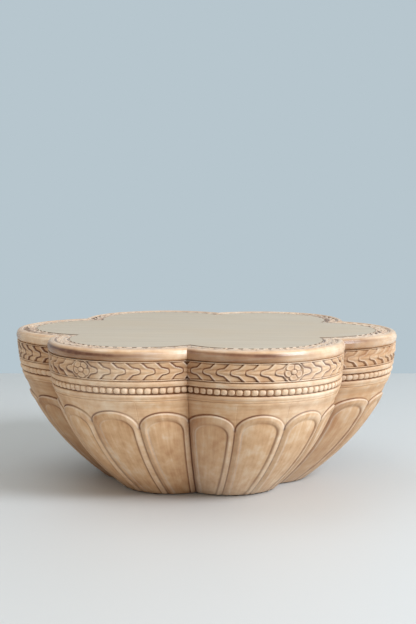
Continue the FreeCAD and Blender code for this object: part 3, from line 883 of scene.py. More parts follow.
@dataclass(frozen=True)
class LeafGarland:
    """Overlapping leaves that point away from a flower, as heights over a band's ground.

    The distance from the flower plus a leaf outline's set-back at that distance from the middle line,
    divided by the pitch, gives the leaf and the place on it. A leaf rises towards its tip and ends in a
    step down to the next one. Lengths are in metres, and heights named as a share are shares of the relief.
    """

    half_width: float = 0.0235
    relief: float = 0.0048
    pitch: float = 0.0365
    nose_half_width: float = 0.0080
    nose_length: float = 0.0190
    nose_power: float = 3.2
    shoulder_slope: float = 1.05
    corner: float = 0.0016
    first_tip: float = 0.0215
    root_share: float = 0.18
    rise_power: float = 1.3
    step_width: float = 0.0020
    groove: float = 0.0012
    groove_width: float = 0.0012
    rib: float = 0.0040
    rib_half_width: float = 0.0095
    rib_tip_half_width: float = 0.0018
    samples: int = 121
    flower_radius: float = 0.0212
    flower_stretch: float = 1.25
    flower_step: float = 0.0016
    flower_ground_share: float = 0.12
    flower_petals: int = 5
    petal_turn: float = 0.35
    petal_root: float = 0.70
    petal_power: float = 0.55
    petal_share: float = 0.74
    squash: float = 0.06
    squash_turn: float = 0.6
    petal_hollow: Line = Line(0.68, 0.24, 0.40)
    petal_cut: Line = Line(0.0, 0.0019, 0.0028)
    cut_span: tuple[float, float] = (0.004, 0.008)
    button_radius: float = 0.0062
    button_share: float = 0.36
    button_ring: Line = Line(0.0008, 0.0013, 0.0024)
    lip: float = 0.0014
    lip_side: float = 0.0008
    lip_gutter: Line = Line(0.0014, 0.0010, 0.0018)
    # glaze lines with painted shade, and pale edges with painted highlights, strongest on the outlines turned
    # one way to the light
    line_width: float = 0.0015
    line_offset: float = 0.0013
    side_change: float = 0.004
    weak_line: float = 0.28
    weak_line_right: float = 0.34
    highlight_width: float = 0.0012
    weak_highlight: float = 0.3
    leaf_span: tuple[float, float] = (1.02, 1.12)
    margin: float = 0.003
    ring_line: Line = Line(0.0004, 0.0016)
    ring_least: float = 0.15
    ring_span: tuple[float, float] = (-0.2, 0.6)
    cut_line: Line = Line(0.0, 0.0022)
    cut_line_span: tuple[float, float] = (0.005, 0.010)
    cut_end: float = 0.001
    cut_least: float = 0.25
    cut_lean: tuple[float, float] = (-0.6, 0.4)
    button_line: Line = Line(0.0006, 0.0014, 0.5)
    button_lean: tuple[float, float] = (-0.9, 0.5)
    petal_rub: Line = Line(0.0022, 0.0016, 0.5)
    petal_rub_start: float = 0.002

    def set_back(self, across: Grid) -> Grid:
        """How far a leaf's outline lies behind its tip: a rounded nose, then straight flared shoulders.

        The smaller of both curves is taken, with the corner rounded by a soft minimum.

        Args:
            across: distance from the leaf's middle line.

        Returns:
            The set-back in metres.
        """
        side = np.abs(across)
        nose = self.nose_length * (side / self.nose_half_width) ** self.nose_power
        shoulder = self.nose_length + self.shoulder_slope * (side - self.nose_half_width)
        nose, shoulder = -nose / self.corner, -shoulder / self.corner
        top = np.maximum(nose, shoulder)
        return -self.corner * (top + np.log(np.exp(nose - top) + np.exp(shoulder - top)))

    def passed(self, along: Grid, across: Grid) -> tuple[Grid, Grid, Grid]:
        """Share of a leaf passed, the distance past its inner outline and the distance to its own outline.

        Distances are to the nearest of many points sampled on the outline.

        Args:
            along: distance from the flower along the band.
            across: distance from the band's middle line.

        Returns:
            The share, the distance past the inner outline and the distance to the own one.
        """
        start = self.flower_radius * self.flower_stretch + self.first_tip
        phase = (np.abs(along) + self.set_back(across) - start) / self.pitch
        leaf = np.floor(phase)
        local = np.abs(along) - start - leaf * self.pitch
        sample = np.linspace(-self.half_width, self.half_width, self.samples)
        outline = -self.set_back(sample)
        sideways = across[..., None] - sample
        past = np.hypot(local[..., None] - outline, sideways).min(axis=-1)
        ahead = np.hypot(local[..., None] - outline - self.pitch, sideways).min(axis=-1)
        return phase - leaf, past, ahead

    def leaves(self, along: Grid, across: Grid) -> Grid:
        """Height of the leaves over the ground.

        Args:
            along: distance from the flower along the band.
            across: distance from the band's middle line.

        Returns:
            The height in metres.
        """
        share, past, _ = self.passed(along, across)
        fall = ease(past, 0, self.step_width)
        rise = fade(share**self.rise_power, self.root_share)
        gutter = self.groove * bell(past, self.step_width, self.groove_width)
        rib_width = self.rib_tip_half_width + self.rib_half_width * (1 - share)
        rib = self.rib * np.clip(1 - np.abs(across) / rib_width, 0, 1) * (1 - share) * fall
        return self.relief * (1 - fall + fall * rise) + rib - gutter

    def flower_place(self, along: Grid, across: Grid) -> tuple[Grid, Grid, Grid, Grid]:
        """The flower's polar place: reach, angle, nearness to a petal's middle line, and the petals' edge.

        Args:
            along: distance from the flower along the band.
            across: distance from the band's middle line.

        Returns:
            The reach, the angle, the nearness and the reach of the petals' edge.
        """
        aside = along / self.flower_stretch
        reach = np.hypot(aside, across)
        angle = np.arctan2(across, aside)
        petal = np.abs(np.cos(self.flower_petals * (angle + self.petal_turn) / 2))
        squash = 1 - self.squash * np.sin(2 * angle + self.squash_turn)
        edge = self.flower_radius * fade(petal**self.petal_power, self.petal_root) * squash
        return reach, angle, petal, edge

    def flower(self, along: Grid, across: Grid) -> Grid:
        """Height of the flower: a domed button, hollowed petals round it and deep cuts between them.

        Args:
            along: distance from the flower along the band.
            across: distance from the band's middle line.

        Returns:
            The height in metres.
        """
        reach, _, petal, edge = self.flower_place(along, across)
        inside = ease(edge - reach, 0, self.flower_step)
        body = self.relief * (self.petal_share - self.petal_hollow.at(reach / edge) * petal)
        cut = self.petal_cut.at(petal * reach) * ease(reach, *self.cut_span)
        dome = np.sqrt(np.clip(1 - (reach / self.button_radius) ** 2, 0, 1))
        ring = self.button_ring.at(reach - self.button_radius)
        ground = self.relief * self.flower_ground_share
        return ground + inside * (body - cut - ring) + self.relief * self.button_share * dome

    def flower_marks(self, along: Grid, across: Grid) -> tuple[Grid, Grid]:
        """Glaze round and between the flower's petals and round the button, with painted shade heavier on the
        sides turned from the light, and the petals' rubbed edges.

        Args:
            along: distance from the flower along the band.
            across: distance from the band's middle line.

        Returns:
            The glaze with painted shade, and the rubbed edges.
        """
        reach, angle, petal, edge = self.flower_place(along, across)
        falling = np.sin(2 * angle)
        ring = self.ring_line.at(reach - edge) * fade(ease(falling, *self.ring_span), self.ring_least)
        cuts = self.cut_line.at(petal * reach) * ease(reach, *self.cut_line_span)
        cuts = cuts * ease(edge - reach, -self.cut_end, self.cut_end)
        cuts = cuts * fade(ease(-falling, *self.cut_lean), self.cut_least)
        button = self.button_line.at(reach - self.button_radius) * ease(falling, *self.button_lean)
        rub_and_highlight = ease(edge - reach, 0, self.petal_rub_start) * self.petal_rub.at(edge - reach) * petal
        return np.maximum(np.maximum(cuts, ring), button), rub_and_highlight

    def marks(self, along: Grid, across: Grid, spread: float | Grid = 1.0) -> tuple[Grid, Grid]:
        """Glaze lines with painted shade, and rubbed edges with painted highlights, of the carving, 0 to 1.

        Both are strongest on outlines that fall from upper left to lower right, the side set by the light.

        Args:
            along: distance from the flower along the band.
            across: distance from the band's middle line.
            spread: width of the leaves' glaze lines with painted shade, as a share of their usual width.

        Returns:
            The glaze with painted shade, and the rubbed edges with painted highlights.
        """
        _, past, ahead = self.passed(along, across)
        favoured = ease(np.sign(along) * across, -self.side_change, self.side_change)
        line = bell(past / spread, self.line_offset, self.line_width)
        line = np.maximum(line, (along < 0) * favoured * bell(ahead, 0, self.line_offset))
        weak = self.weak_line + self.weak_line_right * (along > 0)
        line = line * (favoured + weak * (1 - favoured))
        inner = self.highlight_width + self.highlight_width * (along < 0) * favoured
        rub_and_highlight = bell(ahead, inner, self.highlight_width) * fade(favoured, self.weak_highlight)
        reach = self.flower_place(along, across)[0]
        on_leaves = ease(reach, *(share * self.flower_radius for share in self.leaf_span))
        on_leaves = on_leaves * ease(self.half_width - np.abs(across), 0, self.margin)
        flower, petals = self.flower_marks(along, across)
        glaze_and_shade = np.maximum(line * on_leaves, flower * (1 - on_leaves))
        return glaze_and_shade, np.maximum(rub_and_highlight * on_leaves, petals * (1 - on_leaves))

    def height(self, along: Grid, across: Grid) -> Grid:
        """Height of the whole garland, with a narrow lip along both sides of the band.

        Args:
            along: distance from the flower along the band.
            across: distance from the band's middle line.

        Returns:
            The height in metres.
        """
        reach = self.flower_place(along, across)[0]
        in_flower = ease(self.flower_radius + self.flower_step - reach, 0, self.flower_step)
        shape = self.leaves(along, across) * (1 - in_flower) + self.flower(along, across) * in_flower
        edge = self.half_width - np.abs(across)
        lip = ease(self.lip + self.lip_side - edge, 0, self.lip_side)
        return shape * (1 - lip) + self.relief * lip - self.lip_gutter.at(edge - self.lip)


@dataclass(frozen=True)
class PetalWall:
    """The coopered bowl: staves carved with arched petals, each a raised frame round a sunk field.

    The carver's arches differ: even and odd lobes each have their own heights of the petals' crowns and of
    the valleys before them, the first valley being at the notch. A row of six values has one for each lobe,
    counted from +X: how far its crowns are sunk, and how much painted shade and painted light a part of it
    has.
    """

    shape: DrumShape
    petals: int = 4
    foot: float = 0.003
    crowns: tuple = ((0.2560, 0.2560, 0.2545, 0.2515), (0.2475, 0.2505, 0.2515, 0.2490))
    valleys: tuple = ((0.2225, 0.2255, 0.2225, 0.2095), (0.2225, 0.2075, 0.2085, 0.2155))
    crown_sinks: tuple[float, ...] = (0.007, 0.0, 0.0, 0.007, 0.0, 0.0)
    # per lobe: painted shade over the lobe and near its foot, and painted light near the foot of lobes 0 and
    # 5, which face the light
    lobe_painted_shade: tuple[float, ...] = (0.0, 0.05, 0.05, 0.20, 0.0, 0.0)
    foot_painted_shade: tuple[float, ...] = (0.05, 0.25, 0.25, 0.50, 0.32, 0.05)
    foot_painted_light: tuple[float, ...] = (0.45, 0.0, 0.0, 0.0, 0.0, 0.60)
    foot_reach: float = 0.08
    seat_inset: float = 0.012
    back_inset: float = 0.030
    back_heights: tuple[float, ...] = (0.29, 0.21, 0.14, 0.08, 0.035)
    ground_inset: float = 0.0058
    band_inset: float = 0.0020
    band_start: float = 0.262
    band_margin: float = 0.002
    arch_power: float = 1.95
    edge_width: float = 0.0034
    frame_width: float = 0.0150
    crown_frame: float = 0.0205
    crown_frame_spread: float = 0.003
    roof_drop: float = 0.0052
    crown_drop: float = 0.0012
    roof_power: float = 1.3
    crowning_start: float = 0.012
    crowning_end: float = 0.004
    field_power: float = 2.3
    field_rise: float = 0.040
    side_width: float = 0.0075
    top_width: float = 0.0160
    top_span: tuple[float, float] = (0.3, 1.0)
    field_sink: float = 0.0054
    pillow: float = 0.0026
    pillow_reach: float = 0.022
    crease: float = 0.0003
    notch_crease: float = 0.0020
    crease_width: float = 0.0016
    wobble_length: float = 0.055
    wobble_depth: float = 0.0005
    # painted shade along each lobe's arches, weakest on lobe 0, which faces the light, and heavier on an
    # arch's left
    outline_painted_shade: tuple[float, ...] = (0.45, 0.9, 0.9, 0.9, 0.9, 0.9)
    outline: Line = Line(-0.0008, 0.0018)
    outline_mean: float = 0.9
    outline_shade_lean: float = 0.5
    arch_change: float = 0.004
    # painted highlight inside the arch's edge, paler on its right
    arch_highlight: Line = Line(0.0036, 0.0017)
    arch_highlight_mean: float = 0.75
    arch_highlight_lean: float = 0.35
    # painted shade and highlight as if lit from the right: the frame brown on its left and pale on its right,
    # the field's side pale on its left and dark on its right
    lit_span: tuple[float, float] = (-0.1, 0.8)
    field_line: float = 0.0024
    inner_place: float = 0.2
    inner_least: float = 0.15
    inner_painted_shade: float = 0.42
    inner_painted_highlight: float = 0.75
    inner_highlight_place: float = 0.45
    frame_painted_shade: float = 0.20
    frame_painted_highlight: float = 0.26
    # painted shade in the grooves between petals and in the cusps where arches meet
    groove: Line = Line(0.0, 0.0017, 0.45)
    groove_fade: float = 0.02
    cusp_shade: Line = Line(0.0, 0.0045, 0.7)
    cusp_rise: Line = Line(0.002, 0.006)
    # painted shade in the notches
    notch_painted_shade: float = 0.22
    edge_wear_and_highlight: float = 0.9
    grain_radius: float = 0.236
    grain_blur: int = 2
    blur_reach: int = 3
    glaze_and_shade_depth: float = 0.0058
    columns: int = 73
    petal_rows: int = 84
    crown_rows: int = 64
    curve_samples: int = 600
    fine_margin: float = 0.012
    seed: int = 11

    def heights(self) -> Grid:
        """Heights of the rows: even steps of wall length up to the arches, finer ones above.

        Returns:
            The heights in metres, from the foot up.
        """
        dense = np.linspace(self.foot, self.shape.moulding_bottom(), self.curve_samples)
        length = path_length(self.shape.reach(dense), dense)
        knee = np.interp(np.min(self.valleys) - self.fine_margin, dense, length)
        low = np.linspace(0, knee, self.petal_rows, endpoint=False)
        high = np.linspace(knee, length[-1], self.crown_rows)
        return np.interp(np.concatenate([low, high]), length, dense)

    def relief(self, number: int, side: Grid, height: Grid, half_turn: float) -> tuple[Grid, ...]:
        """Inset of a petal's surface, with masks for its finish.

        The arch is where |side|^n + (rise share)^n = 1. Inside it a frame rises like a shallow roof from
        its edge to the field, the field is sunk behind a rounded side, and its floor is a low pillow.

        Args:
            number: number of the petal, counted round the drum.
            side: place across the stave, -1 to 1, one per column.
            height: height of each row.
            half_turn: half the stave's angle about the lobe's centre.

        Returns:
            The inset in metres, the mask of the petal, its painted shade and its painted highlights.
        """
        lobe, petal_place = divmod(number, self.petals)
        crown = float(np.resize(self.crowns, number + 1)[number]) - self.crown_sinks[lobe]
        before, after = np.resize(self.valleys, number + 2)[number:]
        place = side[:, None]
        valley = before + (after - before) * (place + 1) / 2
        width = self.shape.radius(height)[None, :] * half_turn
        across = place * width
        along = np.broadcast_to(path_length(self.shape.reach(height), height), across.shape)
        rise = np.clip((height - valley) / (crown - valley), 0, None)
        arch = (np.abs(place) ** self.arch_power + rise**self.arch_power) ** (1 / self.arch_power)
        arch_distance = edge_distance(arch, across, along)
        petal = ease(arch_distance, 0, self.edge_width)
        band = ease(height, self.band_start, self.shape.moulding_bottom() - self.band_margin)
        ground = self.ground_inset + (self.band_inset - self.ground_inset) * band
        roof = np.clip(1 - arch_distance / self.frame_width, 0, 1)
        crowning = ease(height, valley - self.crowning_start, crown - self.crowning_end)
        drop = self.roof_drop + (self.crown_drop - self.roof_drop) * crowning
        frame = drop * roof**self.roof_power
        depth, slant = self._field(number, crown, height, (across, along), width)
        sunk = ease(depth, -slant / 2, slant / 2)
        swell = 1 - (1 - np.clip(depth / self.pillow_reach, 0, 1)) ** 2
        floor = self.field_sink - self.pillow * swell
        carved = frame + (floor - frame) * sunk
        seam = width - np.abs(across)
        first, last = petal_place == 0, petal_place == self.petals - 1
        crease = np.where((first & (place < 0)) | (last & (place > 0)), self.notch_crease, self.crease)
        carved = carved + crease * bell(seam, 0, self.crease_width)
        inset = ground + (carved - ground) * petal
        wobble = hand_wobble(along, across, self.wobble_length, self.seed + number)
        lines = self._lines(lobe, place, seam, height - valley, arch_distance)
        faces = self._faces(place, depth, slant, (1 - sunk) * petal)
        dark, rub_and_highlight = (np.maximum(*pair) for pair in zip(lines, faces))
        return inset + self.wobble_depth * wobble * petal, petal, dark, rub_and_highlight

    def _field(self, number: int, crown: float, height: Grid, place: tuple, width: Grid) -> tuple[Grid, Grid]:
        """Distance inside the sunk field's outline, |across|^n + (lift share)^n = 1, and its side's width.

        Args:
            number: number of the petal, counted round the drum.
            crown: height of the arch's crown.
            height: height of each row.
            place: place across and along the stave.
            width: half the stave's width in each row.

        Returns:
            The distance in metres and the width of the field's side.
        """
        across, along = place
        sway = np.random.default_rng(self.seed + number).uniform(-1, 1)
        start = crown - self.crown_frame - self.crown_frame_spread * sway - self.field_rise
        lift = np.clip((height - start) / self.field_rise, 0, None)
        inner = np.abs(across) / (width - self.frame_width)
        field = (inner**self.field_power + lift**self.field_power) ** (1 / self.field_power)
        slant = self.side_width + (self.top_width - self.side_width) * ease(lift, *self.top_span)
        return edge_distance(field, across, along), slant

    def _lines(self, lobe: int, place: Grid, seam: Grid, above: Grid, arch: Grid) -> tuple[Grid, Grid]:
        """Painted shade along the arch, heavier on its left, in the cusps and in the grooves between petals,
        and a painted highlight along the arch, paler on its right.

        Args:
            lobe: number of the lobe.
            place: place across the stave, -1 to 1.
            seam: distance from the stave's edge.
            above: height over the valley between petals.
            arch: distance inside the arch.

        Returns:
            The painted shade and the painted highlight.
        """
        arched = ease(above, -self.arch_change, self.arch_change)
        outline = self.outline.at(arch) * arched * (self.outline_mean - self.outline_shade_lean * place)
        cusp_shade = self.cusp_shade.at(seam) * self.cusp_rise.at(above)
        groove = self.groove.at(seam) * ease(-above, 0, self.groove_fade)
        rub_and_highlight = self.arch_highlight.at(arch) * arched * (self.arch_highlight_mean + self.arch_highlight_lean * place)
        return np.maximum(np.maximum(cusp_shade, self.outline_painted_shade[lobe] * outline), groove), rub_and_highlight

    def _faces(self, place: Grid, depth: Grid, slant: Grid, face: Grid) -> tuple[Grid, Grid]:
        """Painted shade and highlight of the frame's face and the field's side: brown on the left, pale on
        the right.

        Args:
            place: place across the stave, -1 to 1.
            depth: distance inside the field's outline.
            slant: width of the field's rounded side.
            face: mask of the frame's face.

        Returns:
            The painted shade and the painted highlight.
        """
        leeward, lit = ease(-place, *self.lit_span), ease(place, *self.lit_span)
        inner = bell(depth, self.inner_place * slant, self.field_line) * (self.inner_least + lit)
        edge = bell(depth, self.inner_highlight_place * slant, self.field_line) * leeward
        dark = np.maximum(self.inner_painted_shade * inner, self.frame_painted_shade * face * leeward)
        return dark, np.maximum(self.inner_painted_highlight * edge, self.frame_painted_highlight * face * lit)

    def stave(self, lobe: int, place: int) -> Skin:
        """One stave from the foot to the rim, with its seat behind the bands and its inner face.

        Args:
            lobe: number of the lobe, counted from +X.
            place: number of the stave in its lobe.

        Returns:
            The closed piece with what its finish reads.
        """
        step = FULL_TURN / self.shape.lobe_count / self.petals
        start = (place - self.petals / 2) * step
        low, high = self.shape.turn(np.array([start, start + step]))
        side = np.linspace(-1, 1, self.columns)
        turn = (low + high) / 2 + side * (high - low) / 2
        azimuth = self.shape.azimuth(turn)
        height = self.heights()
        number = lobe * self.petals + place
        inset, petal, dark, rub_and_highlight = self.relief(number, side, height, float(high - low) / 2)
        seat = (self.shape.moulding_bottom(), self.shape.rim_bottom(), self.shape.rim_bottom())
        back_height = np.array([*seat, *self.back_heights, self.foot])
        on_seat = np.arange(back_height.size) < len(seat) - 1
        back_inset = np.where(on_seat, self.seat_inset, self.back_inset)
        # the foot's painted shade and light, the notch and side shade, and the carving's painted shade and
        # highlights
        foot = np.exp(-height / self.foot_reach)
        notch_shade = self.notch_painted_shade * self.shape.notch_shade(turn)[:, None]
        painted_side_shade, wear_and_highlight = self.shape.painted_side_shade(turn)[:, None], self.shape.wear_and_highlight(turn)[:, None]
        return Skin(
            front=self.shape.wall(lobe, azimuth, inset, height),
            back=self.shape.wall(lobe, azimuth, back_inset, back_height),
            along=np.broadcast_to(self.shape.grain(lobe, turn, self.grain_radius), inset.shape),
            up=np.broadcast_to(path_length(self.shape.reach(height), height), inset.shape),
            sink=inset,
            upright=soften(petal, self.grain_blur),
            glaze_and_shade_marks=self.foot_painted_shade[lobe] * foot + notch_shade + dark + painted_side_shade + self.lobe_painted_shade[lobe],
            wear_and_highlight_marks=self.edge_wear_and_highlight * rub_and_highlight + wear_and_highlight * (1 - petal) + self.foot_painted_light[lobe] * foot,
            blur_reach=self.blur_reach,
            glaze_and_shade_depth=self.glaze_and_shade_depth,
        )

    def build(self, finish: CarvedWood) -> None:
        """Builds all staves.

        Args:
            finish: the look of the wood.
        """
        count = self.shape.lobe_count * self.petals
        staves = (self.stave(*divmod(number, self.petals)) for number in range(count))
        build_row("petal_stave", finish.material("petal_wood"), staves)


@dataclass(frozen=True)
class BeadBands:
    """The moulding under the frieze: a row of squarish beads in a channel between two rounded bands.

    Heights in it are measured from its lower edge.
    """

    shape: DrumShape
    back_inset: float = 0.012
    fillet_middle: float = 0.0112
    fillet_half: float = 0.0056
    fillet_swell: float = 0.0032
    flat_inset: float = 0.0014
    incised: Line = Line(0.0006, 0.0009, 0.0014)
    channel_low: float = 0.017
    channel_high: float = 0.037
    channel_inset: float = 0.0062
    band_middle: float = 0.0436
    band_half: float = 0.0066
    band_swell: float = 0.0030
    shadow_gap: float = 0.0058
    beads: int = 29
    bead_half: float = 0.0080
    bead_height: float = 0.0072
    bead_power: float = 2.7
    bead_width: float = 0.94
    width_change: float = 0.03
    aside_change: float = 0.05
    drop_change: float = 0.0003
    height_change: float = 0.0005
    wobble_length: float = 0.06
    wobble_depth: float = 0.00035
    wobble_seed: int = 45
    # painted shade along the channel's lower edge, under the beads
    under_line: Line = Line(0.0010, 0.0016, 0.35)
    # painted shade in the notches
    notch_painted_shade: float = 0.25
    bead_rub: float = 0.15
    blur_reach: int = 5
    glaze_and_shade_depth: float = 0.0054
    columns: int = 551
    rows: int = 52
    seed: int = 5

    def profile(self, height: Grid) -> Grid:
        """Inset of the bands without their beads: half rounds on flats, an incised line, the channel.

        Args:
            height: height over the moulding's lower edge.

        Returns:
            The inset in metres.
        """
        fillet = self._half_round(height, self.fillet_middle, self.fillet_half, self.fillet_swell)
        band = self._half_round(height, self.band_middle, self.band_half, self.band_swell)
        low = self.flat_inset + self.incised.at(height)
        low = np.where(np.abs(height - self.fillet_middle) < self.fillet_half, fillet, low)
        high = np.where(height < self.band_middle + self.band_half, band, self.shadow_gap)
        inset = np.where(height < self.channel_low, low, self.channel_inset)
        return np.where(height > self.channel_high, high, inset)

    @staticmethod
    def _half_round(height: Grid, middle: float, half: float, swell: float) -> Grid:
        """Inset of a rounded moulding, 0 at its middle and its swell at both edges, on an ellipse."""
        return swell * (1 - np.sqrt(np.clip(1 - ((height - middle) / half) ** 2, 0, 1)))

    def bead_relief(self, lobe: int, share: Grid, height: Grid) -> Grid:
        """Height of the beads: sqrt(1 - |u|^p - |v|^p), with each bead a little different.

        Args:
            lobe: number of the lobe, for the beads' differences.
            share: place along the row, 0 to 1, one per column.
            height: height of each row.

        Returns:
            The height over the channel's floor, columns by rows.
        """
        chance = np.random.default_rng(self.seed + lobe)
        differences = chance.uniform(-1, 1, (3, self.beads))
        run = np.clip(share * self.beads, 0, self.beads - TINY)
        index = run.astype(int)
        size, lift, shift = differences[:, index]
        width = self.bead_width + self.width_change * size
        sideways = (2 * (run - index) - 1 + self.aside_change * shift) / width
        middle = (self.channel_low + self.channel_high) / 2
        upward = (height[None, :] - middle - self.drop_change * shift[:, None]) / self.bead_half
        rest = 1 - np.abs(sideways[:, None]) ** self.bead_power - np.abs(upward) ** self.bead_power
        return (self.bead_height + self.height_change * lift[:, None]) * np.sqrt(np.clip(rest, 0, 1))

    def strip(self, lobe: int) -> Skin:
        """The moulding of one lobe, from notch to notch.

        Args:
            lobe: number of the lobe, counted from +X.

        Returns:
            The closed piece with what its finish reads.
        """
        turn = self.shape.turns(self.columns)
        climb = np.linspace(0, self.shape.moulding_height, self.rows)
        height = climb + self.shape.moulding_bottom()
        beads = self.bead_relief(lobe, (turn + turn[-1]) / (2 * turn[-1]), climb)
        inset = self.profile(climb)[None, :] - beads
        along = np.broadcast_to(self.shape.grain(lobe, turn), inset.shape)
        up = np.broadcast_to(height, inset.shape)
        wobble = hand_wobble(along, up, self.wobble_length, self.wobble_seed + lobe)
        inset = inset + self.wobble_depth * wobble
        # painted shade in the notches and under the beads, and the lobe's painted side shade and highlight
        notch_shade = self.notch_painted_shade * self.shape.notch_shade(turn)[:, None]
        under = self.under_line.at(climb - self.channel_low)
        return Skin(
            **self.shape.band(lobe, turn, inset, height, self.back_inset),
            along=along,
            up=up,
            sink=inset,
            upright=np.zeros_like(inset),
            glaze_and_shade_marks=notch_shade + under + self.shape.painted_side_shade(turn)[:, None],
            wear_and_highlight_marks=self.bead_rub * beads / self.bead_height + self.shape.wear_and_highlight(turn)[:, None],
            blur_reach=self.blur_reach,
            glaze_and_shade_depth=self.glaze_and_shade_depth,
        )

    def build(self, finish: CarvedWood) -> None:
        """Builds the moulding of every lobe."""
        build_row("bead_strip", finish.material("bead_wood"), map(self.strip, range(self.shape.lobe_count)))


@dataclass(frozen=True)
class LeafFrieze:
    """The band of leaves under the rim, with a flower at the middle of each lobe.

    For each lobe, counted from +X, the glaze lines with painted shade have their own width left and right of
    the flower, and the carving its own share of glaze and painted shade.
    """

    shape: DrumShape
    garland: LeafGarland = LeafGarland()
    ground_inset: float = 0.0050
    back_inset: float = 0.012
    # per lobe, width of the glaze lines with painted shade, widened where a step's shade falls on the next
    # leaf
    line_spreads: tuple = ((0.6, 0.6), (1.0, 1.0), (1.0, 1.0), (0.9, 0.9), (2.8, 1.0), (1.0, 2.3))
    line_turn: float = 0.35
    # per lobe, share of glaze and painted shade, least on lobe 0, which faces the light
    carving_shade: tuple[float, ...] = (0.4, 1.0, 1.0, 1.0, 1.0, 1.0)
    shift_length: float = 0.05
    shift: float = 0.0013
    across_share: float = 0.5
    lift_length: float = 0.03
    lift: float = 0.0004
    ground_glaze: float = 0.10
    # painted shade in the notches
    notch_painted_shade: float = 0.25
    edge_wear_and_highlight: float = 0.6
    blur_reach: int = 4
    glaze_and_shade_depth: float = 0.0044
    columns: int = 561
    rows: int = 46
    shift_seed: int = 23
    lift_seed: int = 30

    def board(self, lobe: int) -> Skin:
        """The carved board of one lobe.

        Args:
            lobe: number of the lobe, counted from +X.

        Returns:
            The closed piece with what its finish reads.
        """
        turn = self.shape.turns(self.columns)
        climb = np.linspace(0, self.shape.frieze_height, self.rows)
        height = climb + self.shape.frieze_bottom()
        along = turn[:, None] * self.shape.radius(height)[None, :]
        across = np.broadcast_to(climb - self.shape.frieze_height / 2, along.shape)
        shift = self.shift * hand_wobble(along, across, self.shift_length, self.shift_seed + lobe)
        lift = self.lift * hand_wobble(along, across, self.lift_length, self.lift_seed + lobe)
        placed = (along + shift, across + self.across_share * shift)
        inset = self.ground_inset - self.garland.height(*placed) + lift
        left, right = self.line_spreads[lobe]
        spread = left + (right - left) * ease(turn, -self.line_turn, self.line_turn)[:, None]
        dark, rub_and_highlight = self.garland.marks(*placed, spread)
        # even glaze on the ground, with painted shade in the notches
        glaze_and_shade = self.ground_glaze + self.notch_painted_shade * self.shape.notch_shade(turn)[:, None]
        return Skin(
            **self.shape.band(lobe, turn, inset, height, self.back_inset),
            along=along + lobe * LOBE_GRAIN,
            up=np.broadcast_to(height, along.shape),
            sink=inset,
            upright=np.zeros_like(inset),
            glaze_and_shade_marks=glaze_and_shade + dark * self.carving_shade[lobe] + self.shape.painted_side_shade(turn)[:, None],
            wear_and_highlight_marks=self.edge_wear_and_highlight * rub_and_highlight + self.shape.wear_and_highlight(turn)[:, None],
            blur_reach=self.blur_reach,
            glaze_and_shade_depth=self.glaze_and_shade_depth / self.carving_shade[lobe],
        )

    def build(self, finish: CarvedWood) -> None:
        """Builds the board of every lobe."""
        boards = map(self.board, range(self.shape.lobe_count))
        build_row("frieze_segment", finish.material("frieze_wood"), boards)


